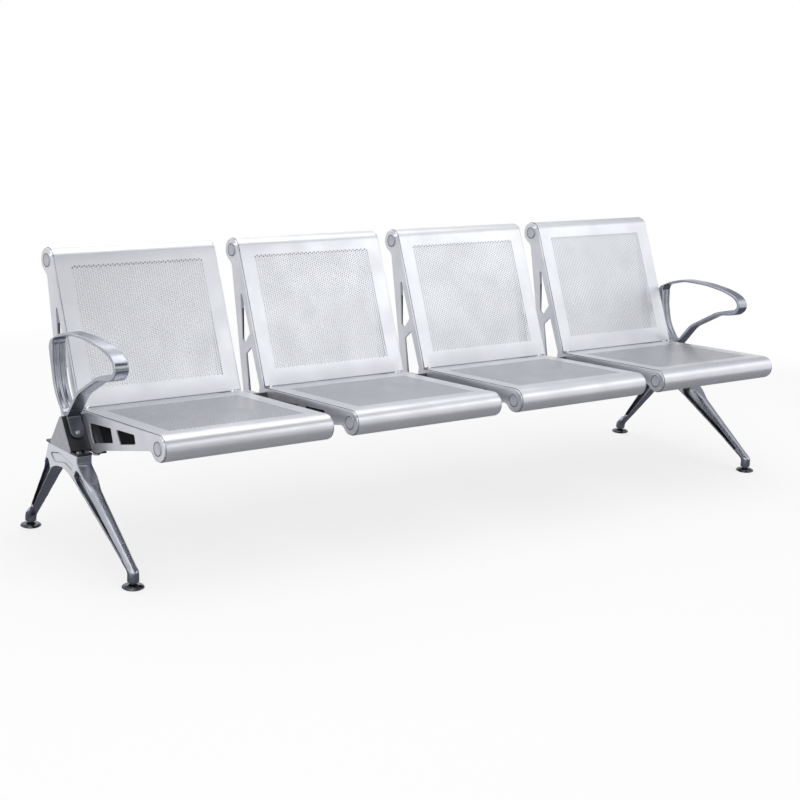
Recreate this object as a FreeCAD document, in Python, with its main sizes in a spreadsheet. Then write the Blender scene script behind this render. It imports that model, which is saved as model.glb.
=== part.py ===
import FreeCAD, Part
import math
import os
import Sketcher

# Four-seat beam seating: perforated sheet seats on cast side frames over one beam

V = FreeCAD.Vector
doc = FreeCAD.newDocument("BeamSeating")

# Driving sizes, in millimetres and degrees
SIZES = [
    ("seat_pitch", 585, "one seat to the next"),
    ("seat_width", 509, "over the outer faces of a seat's two side frames"),
    ("hip_height", 386, "floor to the line where seat and back meet"),
    ("seat_tilt", 3.5, "rise of the seat towards its front"),
    ("back_recline", 22.5, "lean of the back from upright"),
    ("seat_reach", 422, "hip line to the middle of the front roll"),
    ("back_reach", 417.5, "hip line to the middle of the top roll"),
    ("roll_radius", 35, "outer radius of both sheet rolls"),
    ("roll_sweep", 215, "turn of the sheet round its roll"),
    ("sheet", 1.5, "thickness of the seat and back sheet"),
    ("sheet_inset", 5, "sheet edge in from the frame's outer face"),
    ("sheet_gap", 0.2, "sheet to the frame beneath it"),
    ("seam", 2.5, "sheet edge to the hip line"),
    ("lip_drop", 11, "depth of the folded lip along the seam"),
    ("mesh_margin", 49.5, "seat's outer face to the perforated field"),
    ("mesh_start", 54, "hip line to the perforated field"),
    ("mesh_reach", 336, "length of the perforated field"),
    ("openings_across", 8, "openings across a field"),
    ("openings_along", 7, "openings along a field"),
    ("opening", 24.5, "side of an opening, which stands for a patch of fine holes"),
    ("plate", 10, "thickness of a side frame"),
    ("ledge_width", 22, "frame's outer face to the ledge's inner edge"),
    ("ledge_depth", 5, "thickness of the ledge"),
    ("ledge_reach", 392, "length of a ledge from the hip line"),
    ("head_width", 14, "width of a frame's round head"),
    ("neck_round", 20, "hollow between a head and its arm"),
    ("seat_neck", 40, "depth of the seat arm at its front end"),
    ("seat_root", 90, "depth of the seat arm at its foot"),
    ("back_neck", 42, "depth of the back arm at its top end"),
    ("window_round", 4.5, "corner radius of the frame's windows"),
    ("cap_diameter", 39, "round cap in a frame's head"),
    ("cap_depth", 2, "height of the cap"),
    ("fit_gap", 0.1, "clearance round anything that is pushed in"),
    ("saddle_width", 30, "width of a frame's saddle on the beam"),
    ("crest", 22.5, "hip line to the front of the saddle's flat top"),
    ("foot_reach", 90, "beam middle to the end of a frame's foot"),
    ("heel_reach", 107, "beam middle to the frame's heel"),
    ("heel_round", 30, "rounding of the heel"),
    ("beam_ahead", 12, "beam middle forward of the hip line"),
    ("beam_drop", 97.5, "hip line down to the beam's flat underside"),
    ("beam_width", 122, "width of the beam's underside"),
    ("beam_height", 90, "underside to the point where the sloping faces meet"),
    ("beam_round", 4, "edge radius of the beam"),
    ("beam_wall", 2.5, "wall of the beam"),
    ("beam_overhang", 59, "beam end beyond the outermost frame"),
    ("beam_gap", 0.2, "saddle to beam"),
    ("endcap", 3, "thickness of an end cap's face"),
    ("endcap_plug", 14, "length of the end cap's plug"),
    ("clamp_plate", 3, "thickness of a clamp plate"),
    ("clamp_bolt", 10, "clamp bolt"),
    ("clamp_bolt_in", 9, "clamp bolt in from the frame's outer face"),
    ("clamp_bolt_reach", 70, "clamp bolt from the beam's middle"),
    ("clamp_grip", 13, "clamp bolt's length in the frame"),
    ("bracket", 5, "thickness of the steel plate on top of a leg"),
    ("bracket_front", 83, "beam middle to the plate's front end"),
    ("bracket_back", 104, "beam middle to the plate's rear end"),
    ("leg_bolt", 8, "leg bolt"),
    ("leg_bolt_reach", 70.5, "leg bolt from the beam's middle"),
    ("leg_bolt_apart", 23, "between two leg bolts side by side"),
    ("leg_grip", 20, "leg bolt's length in the leg"),
    ("leg_out", 30, "leg's middle outside the outermost frame"),
    ("leg_width", 44, "leg at its top"),
    ("ankle", 31, "diameter of a leg's ankle"),
    ("ankle_foot", 17, "floor to the underside of an ankle"),
    ("ankle_dome", 50, "floor to the middle of an ankle's round top"),
    ("foot_behind", 234, "rear foot behind the hip line"),
    ("foot_spread", 593.5, "front foot to rear foot"),
    ("leg_web", 6, "web between the leg's pockets"),
    ("badge_depth", 1.2, "recess of the bare badge panel"),
    ("arch_round", 105, "radius of the arch between the limbs"),
    ("arm_out", 28, "armrest's middle outside the outermost frame"),
    ("arm_width", 41, "width of the armrest strap"),
    ("strap", 8.5, "thickness of the armrest strap"),
    ("arm_top", 228.5, "beam's edge to the top of the armrest"),
    ("arm_front", 286, "beam's edge to the armrest's nose"),
    ("arm_back", 101.5, "beam's edge to the armrest's rear corner"),
    ("tongue_reach", 75, "length of the tongue down the beam's face"),
    ("channel_depth", 4, "depth of the channel in the armrest's post"),
    ("channel_rim", 5, "rim each side of the channel"),
    ("channel_rib", 4, "rib along the middle of the channel"),
    ("arm_screw", 6, "armrest screw"),
    ("arm_screw_reach", 56, "armrest screw down the beam's face"),
    ("stud", 5, "stud welded under the sheet"),
    ("stud_reach", 14, "length of a stud below the sheet's face"),
    ("stud_in", 16.5, "stud in from the frame's outer face"),
    ("stud_along", 120, "hip line to a stud"),
    ("nut_flats", 8, "across the flats of a stud's nut"),
    ("nut_depth", 4, "thickness of a stud's nut"),
    ("flange", 13, "diameter of the spindle's captive flange"),
    ("flange_depth", 3, "thickness of the spindle's flange"),
    ("glide", 58, "diameter of a foot's dome"),
    ("glide_top", 13.3, "floor to the top of the dome"),
    ("glide_rim", 2.5, "floor to the dome's rim"),
    ("pad_diameter", 51, "diameter of the rubber pad"),
    ("pad_depth", 4.5, "thickness of the rubber pad"),
    ("spindle", 9.9, "diameter of a foot's spindle"),
    ("spindle_top", 50, "floor to the top of the spindle"),
    ("running_gap", 0.05, "radial clearance of turning parts"),
    ("collar", 17, "across the flats of the spindle's hexagon"),
]

sheet = doc.addObject("Spreadsheet::Sheet", "Sizes")
for row, (alias, value, meaning) in enumerate(SIZES, 1):
    sheet.set("A%d" % row, meaning)
    sheet.set("B%d" % row, str(value))
    sheet.setAlias("B%d" % row, alias)
doc.recompute()

# Sizes that follow from the driving ones
WORKED = [
    ("front_extent",
     "Sizes.seat_reach * cos(Sizes.seat_tilt) + Sizes.roll_radius * (1 + sin(Sizes.seat_tilt))"),
    ("rear_extent", "Sizes.foot_behind + Sizes.glide / 2"),
    ("hip_y", "(Worked.front_extent - Worked.rear_extent) / 2"),
    ("beam_y", "Worked.hip_y - Sizes.beam_ahead"),
    ("slope", "2 * Sizes.beam_height / Sizes.beam_width"),
    ("stretch", "sqrt(1 + Worked.slope * Worked.slope)"),
    ("bench", "3 * Sizes.seat_pitch + Sizes.seat_width"),
    ("head", "Sizes.roll_radius - Sizes.sheet - Sizes.sheet_gap"),
    ("seat_face", "Sizes.sheet + Sizes.sheet_gap"),
    ("corner", "1 / tan((90 + Sizes.back_recline - Sizes.seat_tilt) / 2)"),
    ("rear_foot", "Worked.hip_y + Sizes.foot_behind"),
    ("front_foot", "Worked.rear_foot - Sizes.foot_spread"),
    ("beam_base", "Sizes.hip_height - Sizes.beam_drop"),
    ("apex", "Worked.beam_base + Sizes.beam_height"),
    ("leg_top", "Worked.beam_base - Sizes.bracket"),
    ("clamp_face", "Worked.beam_base - Sizes.clamp_plate"),
]
worked = doc.addObject("App::VarSet", "Worked")
for name, rule in WORKED:
    worked.addProperty("App::PropertyFloat", name)
    worked.setExpression(name, rule)
    doc.recompute()

reckoner = doc.addObject("App::VarSet", "Reckoner")
reckoner.addProperty("App::PropertyFloat", "result")
known = {}


def number(rule):
    """The present value of a rule written in the sheet's sizes."""
    rule = str(rule)
    if rule not in known:
        reckoner.setExpression("result", rule)
        reckoner.recompute()
        known[rule] = reckoner.result
    return known[rule]


def seat(along, above):
    """A point of the side view, forward along the seat from the hip line and up from its face."""
    y = "Worked.hip_y - (%s) * cos(Sizes.seat_tilt) + (%s) * sin(Sizes.seat_tilt)" % (along, above)
    z = "Sizes.hip_height + (%s) * sin(Sizes.seat_tilt) + (%s) * cos(Sizes.seat_tilt)" % (along, above)
    return y, z


def back(along, ahead):
    """A point of the side view, up along the back from the hip line and ahead of its face."""
    y = "Worked.hip_y + (%s) * sin(Sizes.back_recline) - (%s) * cos(Sizes.back_recline)" % (along, ahead)
    z = "Sizes.hip_height + (%s) * cos(Sizes.back_recline) + (%s) * sin(Sizes.back_recline)" % (along, ahead)
    return y, z


def beam(across, up):
    """A point of the side view from the middle of the beam's underside."""
    return "Worked.beam_y + (%s)" % across, "Worked.beam_base + (%s)" % up


def face(down, out, side):
    """A point down a sloping face of the beam from its top edge, side -1 being the front face."""
    y = "Worked.beam_y + %d * ((%s) + (%s) * Worked.slope) / Worked.stretch" % (side, down, out)
    z = "Worked.apex + ((%s) - (%s) * Worked.slope) / Worked.stretch" % (out, down)
    return y, z


def triangle(grow, below, radius):
    """The beam's triangle, its sloping faces moved out by grow and its underside down by below."""
    half = "(Sizes.beam_height + (%s) * Worked.stretch + (%s)) / Worked.slope" % (grow, below)
    return [
        beam("-%s" % half, "-(%s)" % below) + ("round", radius),
        beam(half, "-(%s)" % below) + ("round", radius),
        beam("0", "Sizes.beam_height + (%s) * Worked.stretch" % grow) + ("round", radius),
    ]


def plane(body, role):
    """One of a body's own origin planes."""
    return [item for item in body.Origin.OriginFeatures if item.Role == role][0]


def fillet_points(before, corner, after, radius):
    """Where an arc of this radius leaves the two lines that meet in a corner, and its centre."""
    to_before = (before - corner).normalize()
    to_after = (after - corner).normalize()
    half = to_before.getAngle(to_after) / 2
    reach = radius / math.tan(half)
    middle = (to_before + to_after).normalize()
    return corner + to_before * reach, corner + to_after * reach, corner + middle * (radius / math.sin(half))


def arc_between(start, end, centre, leftward):
    """An arc from start to end, turning left or right about its centre."""
    first, last = (start, end) if leftward else (end, start)
    circle = Part.Circle(centre, V(0, 0, 1), (start - centre).Length)
    a = math.atan2(first.y - centre.y, first.x - centre.x)
    b = math.atan2(last.y - centre.y, last.x - centre.x)
    return Part.ArcOfCircle(circle, a, b)


def loop(sketch, corners):
    """One closed loop of a sketch: (u, v), (u, v, "round", radius) or (u, v, "left"/"right", radius, bulge)."""
    count = len(corners)
    spots = [V(number(item[0]), number(item[1]), 0) for item in corners]
    kind = [item[2] if len(item) > 2 else "plain" for item in corners]
    leave = list(spots)
    arrive = list(spots)
    centres = [None] * count
    for i in range(count):
        if kind[i] == "round":
            radius = number(corners[i][3])
            corner = fillet_points(spots[i - 1], spots[i], spots[(i + 1) % count], radius)
            arrive[i], leave[i], centres[i] = corner
    pieces = []
    rules = []
    side = []
    for i in range(count):
        j = (i + 1) % count
        if kind[i] in ("left", "right"):
            radius = number(corners[i][3])
            chord = spots[j] - spots[i]
            rise = math.sqrt(max(radius ** 2 - (chord.Length / 2) ** 2, 0))
            across = V(-chord.y, chord.x, 0).normalize()
            leftward = kind[i] == "left"
            toward = 1 if leftward == (corners[i][4] == "small") else -1
            centre = (spots[i] + spots[j]) / 2 + across * (rise * toward)
            side.append((len(pieces), 1, 2) if leftward else (len(pieces), 2, 1))
            pieces.append(arc_between(spots[i], spots[j], centre, leftward))
        else:
            side.append((len(pieces), 1, 2))
            pieces.append(Part.LineSegment(leave[i], arrive[j]))
    base = sketch.GeometryCount
    links = []
    for i in range(count):
        if kind[i] == "round":
            turn = (arrive[i] - spots[i]).cross(leave[i] - spots[i]).z
            leftward = turn < 0
            arc = base + len(pieces)
            pieces.append(arc_between(arrive[i], leave[i], centres[i], leftward))
            before, _, before_end = side[i - 1]
            after, after_start, _ = side[i]
            first, last = (1, 2) if leftward else (2, 1)
            links.append(Sketcher.Constraint("Tangent", base + before, before_end, arc, first))
            links.append(Sketcher.Constraint("Tangent", arc, last, base + after, after_start))
            rules.append((Sketcher.Constraint("Radius", arc, number(corners[i][3])), corners[i][3]))
    marks = base + len(pieces)
    helpers = []
    for i in range(count):
        before, _, before_end = side[i - 1]
        after, after_start, _ = side[i]
        if kind[i] == "round":
            mark = marks + len(helpers)
            helpers.append(Part.Point(spots[i]))
            links.append(Sketcher.Constraint("PointOnObject", mark, 1, base + before))
            links.append(Sketcher.Constraint("PointOnObject", mark, 1, base + after))
            held = (mark, 1)
        else:
            links.append(Sketcher.Constraint("Coincident", base + before, before_end,
                                             base + after, after_start))
            held = (base + after, after_start)
        rules.append((Sketcher.Constraint("DistanceX", -1, 1, held[0], held[1], spots[i].x), corners[i][0]))
        rules.append((Sketcher.Constraint("DistanceY", -1, 1, held[0], held[1], spots[i].y), corners[i][1]))
        if kind[i] in ("left", "right"):
            rules.append((Sketcher.Constraint("Radius", base + after, number(corners[i][3])), corners[i][3]))
    sketch.addGeometry(pieces, False)
    if helpers:
        sketch.addGeometry(helpers, True)
    sketch.addConstraint(links)
    placed = sketch.addConstraint([item[0] for item in rules])
    for index, (_, rule) in zip(placed, rules):
        sketch.setExpression("Constraints[%d]" % index, str(rule))


def circle(sketch, u, v, diameter):
    """A full circle in a sketch."""
    spot = V(number(u), number(v), 0)
    item = sketch.addGeometry(Part.Circle(spot, V(0, 0, 1), number(diameter) / 2), False)
    for rule, made in (
        (u, Sketcher.Constraint("DistanceX", -1, 1, item, 3, spot.x)),
        (v, Sketcher.Constraint("DistanceY", -1, 1, item, 3, spot.y)),
        (diameter, Sketcher.Constraint("Diameter", item, number(diameter))),
    ):
        index = sketch.addConstraint(made)
        sketch.setExpression("Constraints[%d]" % index, str(rule))


def new_sketch(body, name, role, lift="0", turn=None, move=None):
    """A sketch on one of the body's planes, lifted off it, or turned about X and moved in the side view."""
    sketch = body.newObject("Sketcher::SketchObject", name)
    sketch.AttachmentSupport = [(plane(body, role), "")]
    sketch.MapMode = "FlatFace"
    if turn is None:
        sketch.setExpression("AttachmentOffset.Base.z", str(lift))
    else:
        sketch.AttachmentOffset = FreeCAD.Placement(V(0, 0, 0), FreeCAD.Rotation(V(1, 0, 0), 10))
        sketch.setExpression("AttachmentOffset.Rotation.Angle", turn)
        sketch.setExpression("AttachmentOffset.Base.y", move[0])
        sketch.setExpression("AttachmentOffset.Base.z", move[1])
    return sketch


def seat_plane(body, name, below="0"):
    """A sketch in the seat's slope: u across, v rearward from the hip line."""
    return new_sketch(body, name, "XY_Plane", turn="-Sizes.seat_tilt", move=seat("0", "-(%s)" % below))


def front_face(body, name, off="0"):
    """A sketch on the beam's front face: u across, v up the face to the beam's top edge."""
    return new_sketch(body, name, "XY_Plane", turn="atan(Worked.slope)", move=face("0", off, -1))


def back_plane(body, name, behind="0"):
    """A sketch in the back's slope: u across, v up from the hip line."""
    return new_sketch(body, name, "XY_Plane", turn="90 - Sizes.back_recline", move=back("0", "-(%s)" % behind))


def feature(body, kind, name, sketch, length=None, **settings):
    """A pad, pocket or revolution of a sketch."""
    item = body.newObject("PartDesign::" + kind, name)
    item.Profile = sketch
    if length is not None:
        item.setExpression("Length", str(length))
    for key, value in settings.items():
        setattr(item, key, value)
    sketch.Visibility = False
    return item


def turned(body, name, corners, cut=False):
    """A loop in the side view turned about the body's upright axis."""
    sketch = new_sketch(body, name + "Profile", "YZ_Plane")
    loop(sketch, corners)
    item = body.newObject("PartDesign::Groove" if cut else "PartDesign::Revolution", name)
    item.Profile = sketch
    item.ReferenceAxis = (sketch, ["V_Axis"])
    item.Angle = 360
    sketch.Visibility = False
    return item


def new_body(label, x="0", y="0", z="0"):
    """A named sub-part and where it stands."""
    body = doc.addObject("PartDesign::Body", label)
    body.Label = label
    for axis, rule in (("x", x), ("y", y), ("z", z)):
        body.setExpression("Placement.Base." + axis, str(rule))
    finished.append(body)
    return body


finished = []
BLOCKS = range(1, 5)


def seat_left(block):
    """Where a seat's left side begins."""
    return "%d * Sizes.seat_pitch - Worked.bench / 2" % (block - 1)


# Side frames: an arm under the seat, an arm behind the back, and a saddle over the beam
WINDOWS = [
    [seat(55, -28), seat(72, "9.5 - Sizes.seat_root"), seat(187, "29.5 - Sizes.seat_root"), seat(176, -23)],
    [seat(203, -21.5), seat(225, "32 - Sizes.seat_root"),
     seat(308, "46.5 - Sizes.seat_root"), seat(301, -19.5)],
    [back(309, -25), back(159, -67), back(143.5, -56), back(165, -21.5)],
    [back(125.5, -26), back(112, -62), back(7.5, -83.5), back(-9, -33), back(8, -23)],
]


def side_frame(block, hand):
    """One cast side frame, hand +1 with its ledge to the right and -1 with its ledge to the left."""
    word = "left" if hand > 0 else "right"
    start = seat_left(block) if hand > 0 else "%s + Sizes.seat_width" % seat_left(block)
    body = new_body("side_frame_%s_%d" % (word, block), start)
    away = hand < 0
    face_down = "Worked.seat_face"
    heel = beam("Sizes.heel_reach", "0")
    outline = new_sketch(body, "Outline", "YZ_Plane")
    notch = triangle("Sizes.beam_gap", "0", "Sizes.beam_round")
    loop(outline, [
        seat("Sizes.seat_reach", "-%s" % face_down),
        seat("Sizes.seat_reach - 20", "-Sizes.roll_radius - 25"),
        seat("Sizes.seat_reach - 38", "-Sizes.seat_neck - 6.6") + ("round", "Sizes.neck_round"),
        seat("133", "-Sizes.seat_root") + ("round", "30"),
        beam("-Sizes.foot_reach", "0") + ("round", "3"),
        notch[0][:2],
        notch[2],
        notch[1][:2],
        heel + ("round", "Sizes.heel_round"),
        back("Sizes.back_reach - 38", "-Sizes.back_neck - 7") + ("round", "Sizes.neck_round"),
        back("Sizes.back_reach - 20", "-Sizes.roll_radius - 25"),
        back("Sizes.back_reach", "-%s" % face_down),
        seat("-%s * Worked.corner" % face_down, "-%s" % face_down),
    ])
    for window in WINDOWS:
        loop(outline, [spot + ("round", "Sizes.window_round") for spot in window])
    feature(body, "Pad", "Plate", outline, "Sizes.plate", Reversed=away)
    for name, centre in (("Front", seat("Sizes.seat_reach", "-Sizes.roll_radius")),
                         ("Top", back("Sizes.back_reach", "-Sizes.roll_radius"))):
        disc = new_sketch(body, name + "Disc", "YZ_Plane")
        circle(disc, centre[0], centre[1], "2 * Worked.head")
        feature(body, "Pad", name + "Head", disc, "Sizes.head_width", Reversed=away)
    under = "(%s + Sizes.ledge_depth)" % face_down
    band = new_sketch(body, "LedgeBand", "YZ_Plane")
    loop(band, [
        seat("Sizes.ledge_reach", "-%s" % face_down),
        seat("Sizes.ledge_reach", "-%s" % under),
        seat("-%s * Worked.corner" % under, "-%s" % under),
        back("Sizes.ledge_reach", "-%s" % under),
        back("Sizes.ledge_reach", "-%s" % face_down),
        seat("-%s * Worked.corner" % face_down, "-%s" % face_down),
    ])
    feature(body, "Pad", "Ledge", band, "Sizes.ledge_width", Reversed=away)
    saddle = new_sketch(body, "SaddleBand", "YZ_Plane")
    loop(saddle, [
        beam("-Sizes.foot_reach", "0") + ("round", "3"),
        notch[0][:2],
        notch[2],
        notch[1][:2],
        beam("Sizes.foot_reach", "0") + ("round", "3"),
        seat("-%s * Worked.corner" % face_down, "-%s" % face_down),
        seat("Sizes.crest", "-%s" % face_down),
    ])
    feature(body, "Pad", "Saddle", saddle, "Sizes.saddle_width", Reversed=away)
    feet = new_sketch(body, "BoltHoles", "XY_Plane", "Worked.beam_base")
    for end in (-1, 1):
        circle(feet, "%d * Sizes.clamp_bolt_in" % hand, "Worked.beam_y + %d * Sizes.clamp_bolt_reach" % end,
               "Sizes.clamp_bolt + 2 * Sizes.running_gap")
    feature(body, "Pocket", "BoltBores", feet, "Sizes.clamp_grip + 1", Reversed=True)
    for name, made, sign in (("Seat", seat_plane, -1), ("Back", back_plane, 1)):
        holes = made(body, name + "StudHoles", face_down)
        circle(holes, "%d * Sizes.stud_in" % hand, "%d * Sizes.stud_along" % sign, "Sizes.stud + 0.6")
        feature(body, "Pocket", name + "StudBores", holes, "Sizes.ledge_depth + 1")
    return body


def sheet_profile(sketch, point, reach):
    """The side view of a bent sheet: flat from the hip line, then rolled round its head."""
    end = "(%s) + %s * sin(Sizes.roll_sweep)"
    drop = "-Sizes.roll_radius + %s * cos(Sizes.roll_sweep)"
    inner = "(Sizes.roll_radius - Sizes.sheet)"
    turn, turn_back = ("left", "right") if point is seat else ("right", "left")
    loop(sketch, [
        point("Sizes.seam", "0"),
        point(reach, "0") + (turn, "Sizes.roll_radius", "large"),
        point(end % (reach, "Sizes.roll_radius"), drop % "Sizes.roll_radius"),
        point(end % (reach, inner), drop % inner) + (turn_back, inner, "large"),
        point(reach, "-Sizes.sheet"),
        point("Sizes.seam", "-Sizes.sheet"),
    ])


def perforated(body, made, sign):
    """A plain grid of square openings in a sheet's field."""
    width = "(Sizes.seat_width - 2 * Sizes.mesh_margin)"
    across = width + " / Sizes.openings_across"
    along = "Sizes.mesh_reach / Sizes.openings_along"
    u = "Sizes.mesh_margin + %s / 2" % across
    v = "%d * (Sizes.mesh_start + %s / 2)" % (sign, along)
    half = "Sizes.opening / 2"
    square = made(body, "OpeningSpot")
    loop(square, [
        ("%s - %s" % (u, half), "%s - %s" % (v, half)),
        ("%s + %s" % (u, half), "%s - %s" % (v, half)),
        ("%s + %s" % (u, half), "%s + %s" % (v, half)),
        ("%s - %s" % (u, half), "%s + %s" % (v, half)),
    ])
    first = feature(body, "Pocket", "Opening", square, "2 * Sizes.sheet")
    grid = body.newObject("PartDesign::MultiTransform", "Openings")
    grid.Originals = [first]
    rows = []
    for name, axis, length, count in (
        ("Across", "H_Axis", "%s * (Sizes.openings_across - 1)" % across, "Sizes.openings_across"),
        ("Along", "V_Axis", "%s * (Sizes.openings_along - 1)" % along, "Sizes.openings_along"),
    ):
        row = body.newObject("PartDesign::LinearPattern", name)
        row.Direction = (square, [axis])
        row.Reversed = name == "Along" and sign < 0
        row.setExpression("Length", length)
        row.setExpression("Occurrences", count)
        rows.append(row)
    grid.Transformations = rows
    body.Tip = grid


def bent_sheet(label, block, point, made, reach, sign):
    """One bent sheet with its folded lip and its two welded studs."""
    body = new_body(label, seat_left(block))
    profile = new_sketch(body, "Profile", "YZ_Plane", "Sizes.sheet_inset")
    sheet_profile(profile, point, reach)
    feature(body, "Pad", "Sheet", profile, "Sizes.seat_width - 2 * Sizes.sheet_inset")
    fold = new_sketch(body, "LipProfile", "YZ_Plane", "Sizes.saddle_width + 2")
    loop(fold, [
        point("Sizes.seam", "0"),
        point("Sizes.seam + Sizes.sheet", "0"),
        point("Sizes.seam + Sizes.sheet", "-Sizes.lip_drop"),
        point("Sizes.seam", "-Sizes.lip_drop"),
    ])
    feature(body, "Pad", "Lip", fold, "Sizes.seat_width - 2 * Sizes.saddle_width - 4")
    studs = made(body, "StudSpots", "Sizes.sheet / 2")
    for across in ("Sizes.stud_in", "Sizes.seat_width - Sizes.stud_in"):
        circle(studs, across, "%d * Sizes.stud_along" % sign, "Sizes.stud")
    feature(body, "Pad", "Studs", studs, "Sizes.stud_reach - Sizes.sheet / 2", Reversed=True)
    perforated(body, made, sign)
    return body


# Beam, its end caps, and the plates clamped and bolted under it
def make_beam():
    """The triangular tube that carries everything."""
    body = new_body("beam", "-Worked.bench / 2 - Sizes.beam_overhang")
    section = new_sketch(body, "Section", "YZ_Plane")
    loop(section, triangle("0", "0", "Sizes.beam_round"))
    loop(section, triangle("-Sizes.beam_wall", "-Sizes.beam_wall", "Sizes.beam_round - Sizes.beam_wall"))
    feature(body, "Pad", "Tube", section, "Worked.bench + 2 * Sizes.beam_overhang")
    holes = front_face(body, "ScrewSpots")
    for end in ("-1", "1"):
        circle(holes, "Worked.bench / 2 + Sizes.beam_overhang + %s * (Worked.bench / 2 + Sizes.arm_out)" % end,
               "-Sizes.arm_screw_reach", "Sizes.arm_screw + 2 * Sizes.fit_gap")
    feature(body, "Pocket", "ScrewHoles", holes, "Sizes.beam_wall * 2")
    return body


def end_cap(hand):
    """A moulded cap pushed into the beam's end."""
    word = "left" if hand < 0 else "right"
    body = new_body("beam_end_cap_" + word, "%d * (Worked.bench / 2 + Sizes.beam_overhang)" % hand)
    outer = new_sketch(body, "Face", "YZ_Plane")
    loop(outer, triangle("0", "0", "Sizes.beam_round"))
    feature(body, "Pad", "FacePlate", outer, "Sizes.endcap", Reversed=hand < 0)
    inside = "(-Sizes.beam_wall - 2 * Sizes.fit_gap)"
    plug = new_sketch(body, "Plug", "YZ_Plane")
    loop(plug, triangle(inside, inside, "Sizes.beam_round - Sizes.beam_wall"))
    loop(plug, triangle("%s - 2" % inside, "%s - 2" % inside, "0.5"))
    feature(body, "Pad", "PlugWall", plug, "Sizes.endcap_plug", Reversed=hand > 0)
    return body


def clamp_plate(block, hand):
    """The plate that draws a side frame down onto the beam."""
    word = "left" if hand > 0 else "right"
    start = seat_left(block) if hand > 0 else "%s + Sizes.seat_width" % seat_left(block)
    body = new_body("clamp_plate_%s_%d" % (word, block), start, z="Worked.clamp_face")
    outline = new_sketch(body, "Outline", "XY_Plane")
    near = "0"
    far = "%d * Sizes.saddle_width" % hand
    front = "Worked.beam_y - Sizes.foot_reach + 2"
    rear = "Worked.beam_y + Sizes.foot_reach - 2"
    loop(outline, [(near, front), (far, front), (far, rear), (near, rear)])
    for end in (-1, 1):
        circle(outline, "%d * Sizes.clamp_bolt_in" % hand, "Worked.beam_y + %d * Sizes.clamp_bolt_reach" % end,
               "Sizes.clamp_bolt + 0.6")
    feature(body, "Pad", "Plate", outline, "Sizes.clamp_plate")
    return body


def leg_plate(hand):
    """The steel plate welded under the beam for a leg."""
    word = "left" if hand < 0 else "right"
    body = new_body("leg_plate_" + word, "%d * (Worked.bench / 2 + Sizes.leg_out)" % hand, z="Worked.leg_top")
    outline = new_sketch(body, "Outline", "XY_Plane")
    half = "Sizes.leg_width / 2"
    front = "Worked.beam_y - Sizes.bracket_front"
    rear = "Worked.beam_y + Sizes.bracket_back"
    loop(outline, [("-%s" % half, front, "round", "4"), (half, front, "round", "4"),
                   (half, rear, "round", "4"), ("-%s" % half, rear, "round", "4")])
    for end in (-1, 1):
        for beside in (-1, 1):
            circle(outline, "%d * Sizes.leg_bolt_apart / 2" % beside,
                   "Worked.beam_y + %d * Sizes.leg_bolt_reach" % end, "Sizes.leg_bolt + 0.6")
    feature(body, "Pad", "Plate", outline, "Sizes.bracket")
    return body


# Legs: one casting each, two splayed limbs joined by an arch
def front_of(y, z):
    """A point of the side view from the front foot's upright axis."""
    return "Worked.front_foot + (%s)" % y, str(z)


def rear_of(y, z):
    """A point of the side view from the rear foot's upright axis."""
    return "Worked.rear_foot + (%s)" % y, str(z)


def under_beam(y, z):
    """A point of the side view from the middle of a leg's top."""
    return "Worked.beam_y + (%s)" % y, "Worked.leg_top - (%s)" % z


FRONT_POCKET = [
    (under_beam("-73", "40.5"), "4"),
    (under_beam("-87", "43.5"), "6"),
    (front_of("32.5", "71"), "2"),
    (front_of("39.5", "67"), "2"),
    (front_of("106", "Sizes.ankle_dome + 59.5"), "250"),
    (under_beam("-66", "73.5"), "8"),
    (under_beam("-58", "61.5"), "10"),
]
REAR_POCKET = [
    (under_beam("91", "47.5"), "5"),
    (under_beam("103", "46.5"), "5"),
    (under_beam("118", "68.5"), "40"),
    (rear_of("-31.5", "76"), "2"),
    (rear_of("-41", "72"), "2"),
    (under_beam("84", "69.5"), "12"),
]
BADGE = [
    (under_beam("80", "25.5"), "5"),
    (under_beam("53", "45.5"), "12"),
    (under_beam("-6", "34.5"), "40"),
    (under_beam("-47", "45.5"), "5"),
    (under_beam("-55.5", "28.5"), "6"),
    (under_beam("23", "13.5"), "60"),
]


def upright(sketch, y):
    """An upright construction line in the side view, to turn a profile about."""
    line = sketch.addGeometry(Part.LineSegment(V(number(y), 0, 0), V(number(y), 100, 0)), True)
    for point, height in ((1, 0), (2, 100)):
        across = sketch.addConstraint(Sketcher.Constraint("DistanceX", -1, 1, line, point, number(y)))
        sketch.setExpression("Constraints[%d]" % across, str(y))
        sketch.addConstraint(Sketcher.Constraint("DistanceY", -1, 1, line, point, height))


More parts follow.
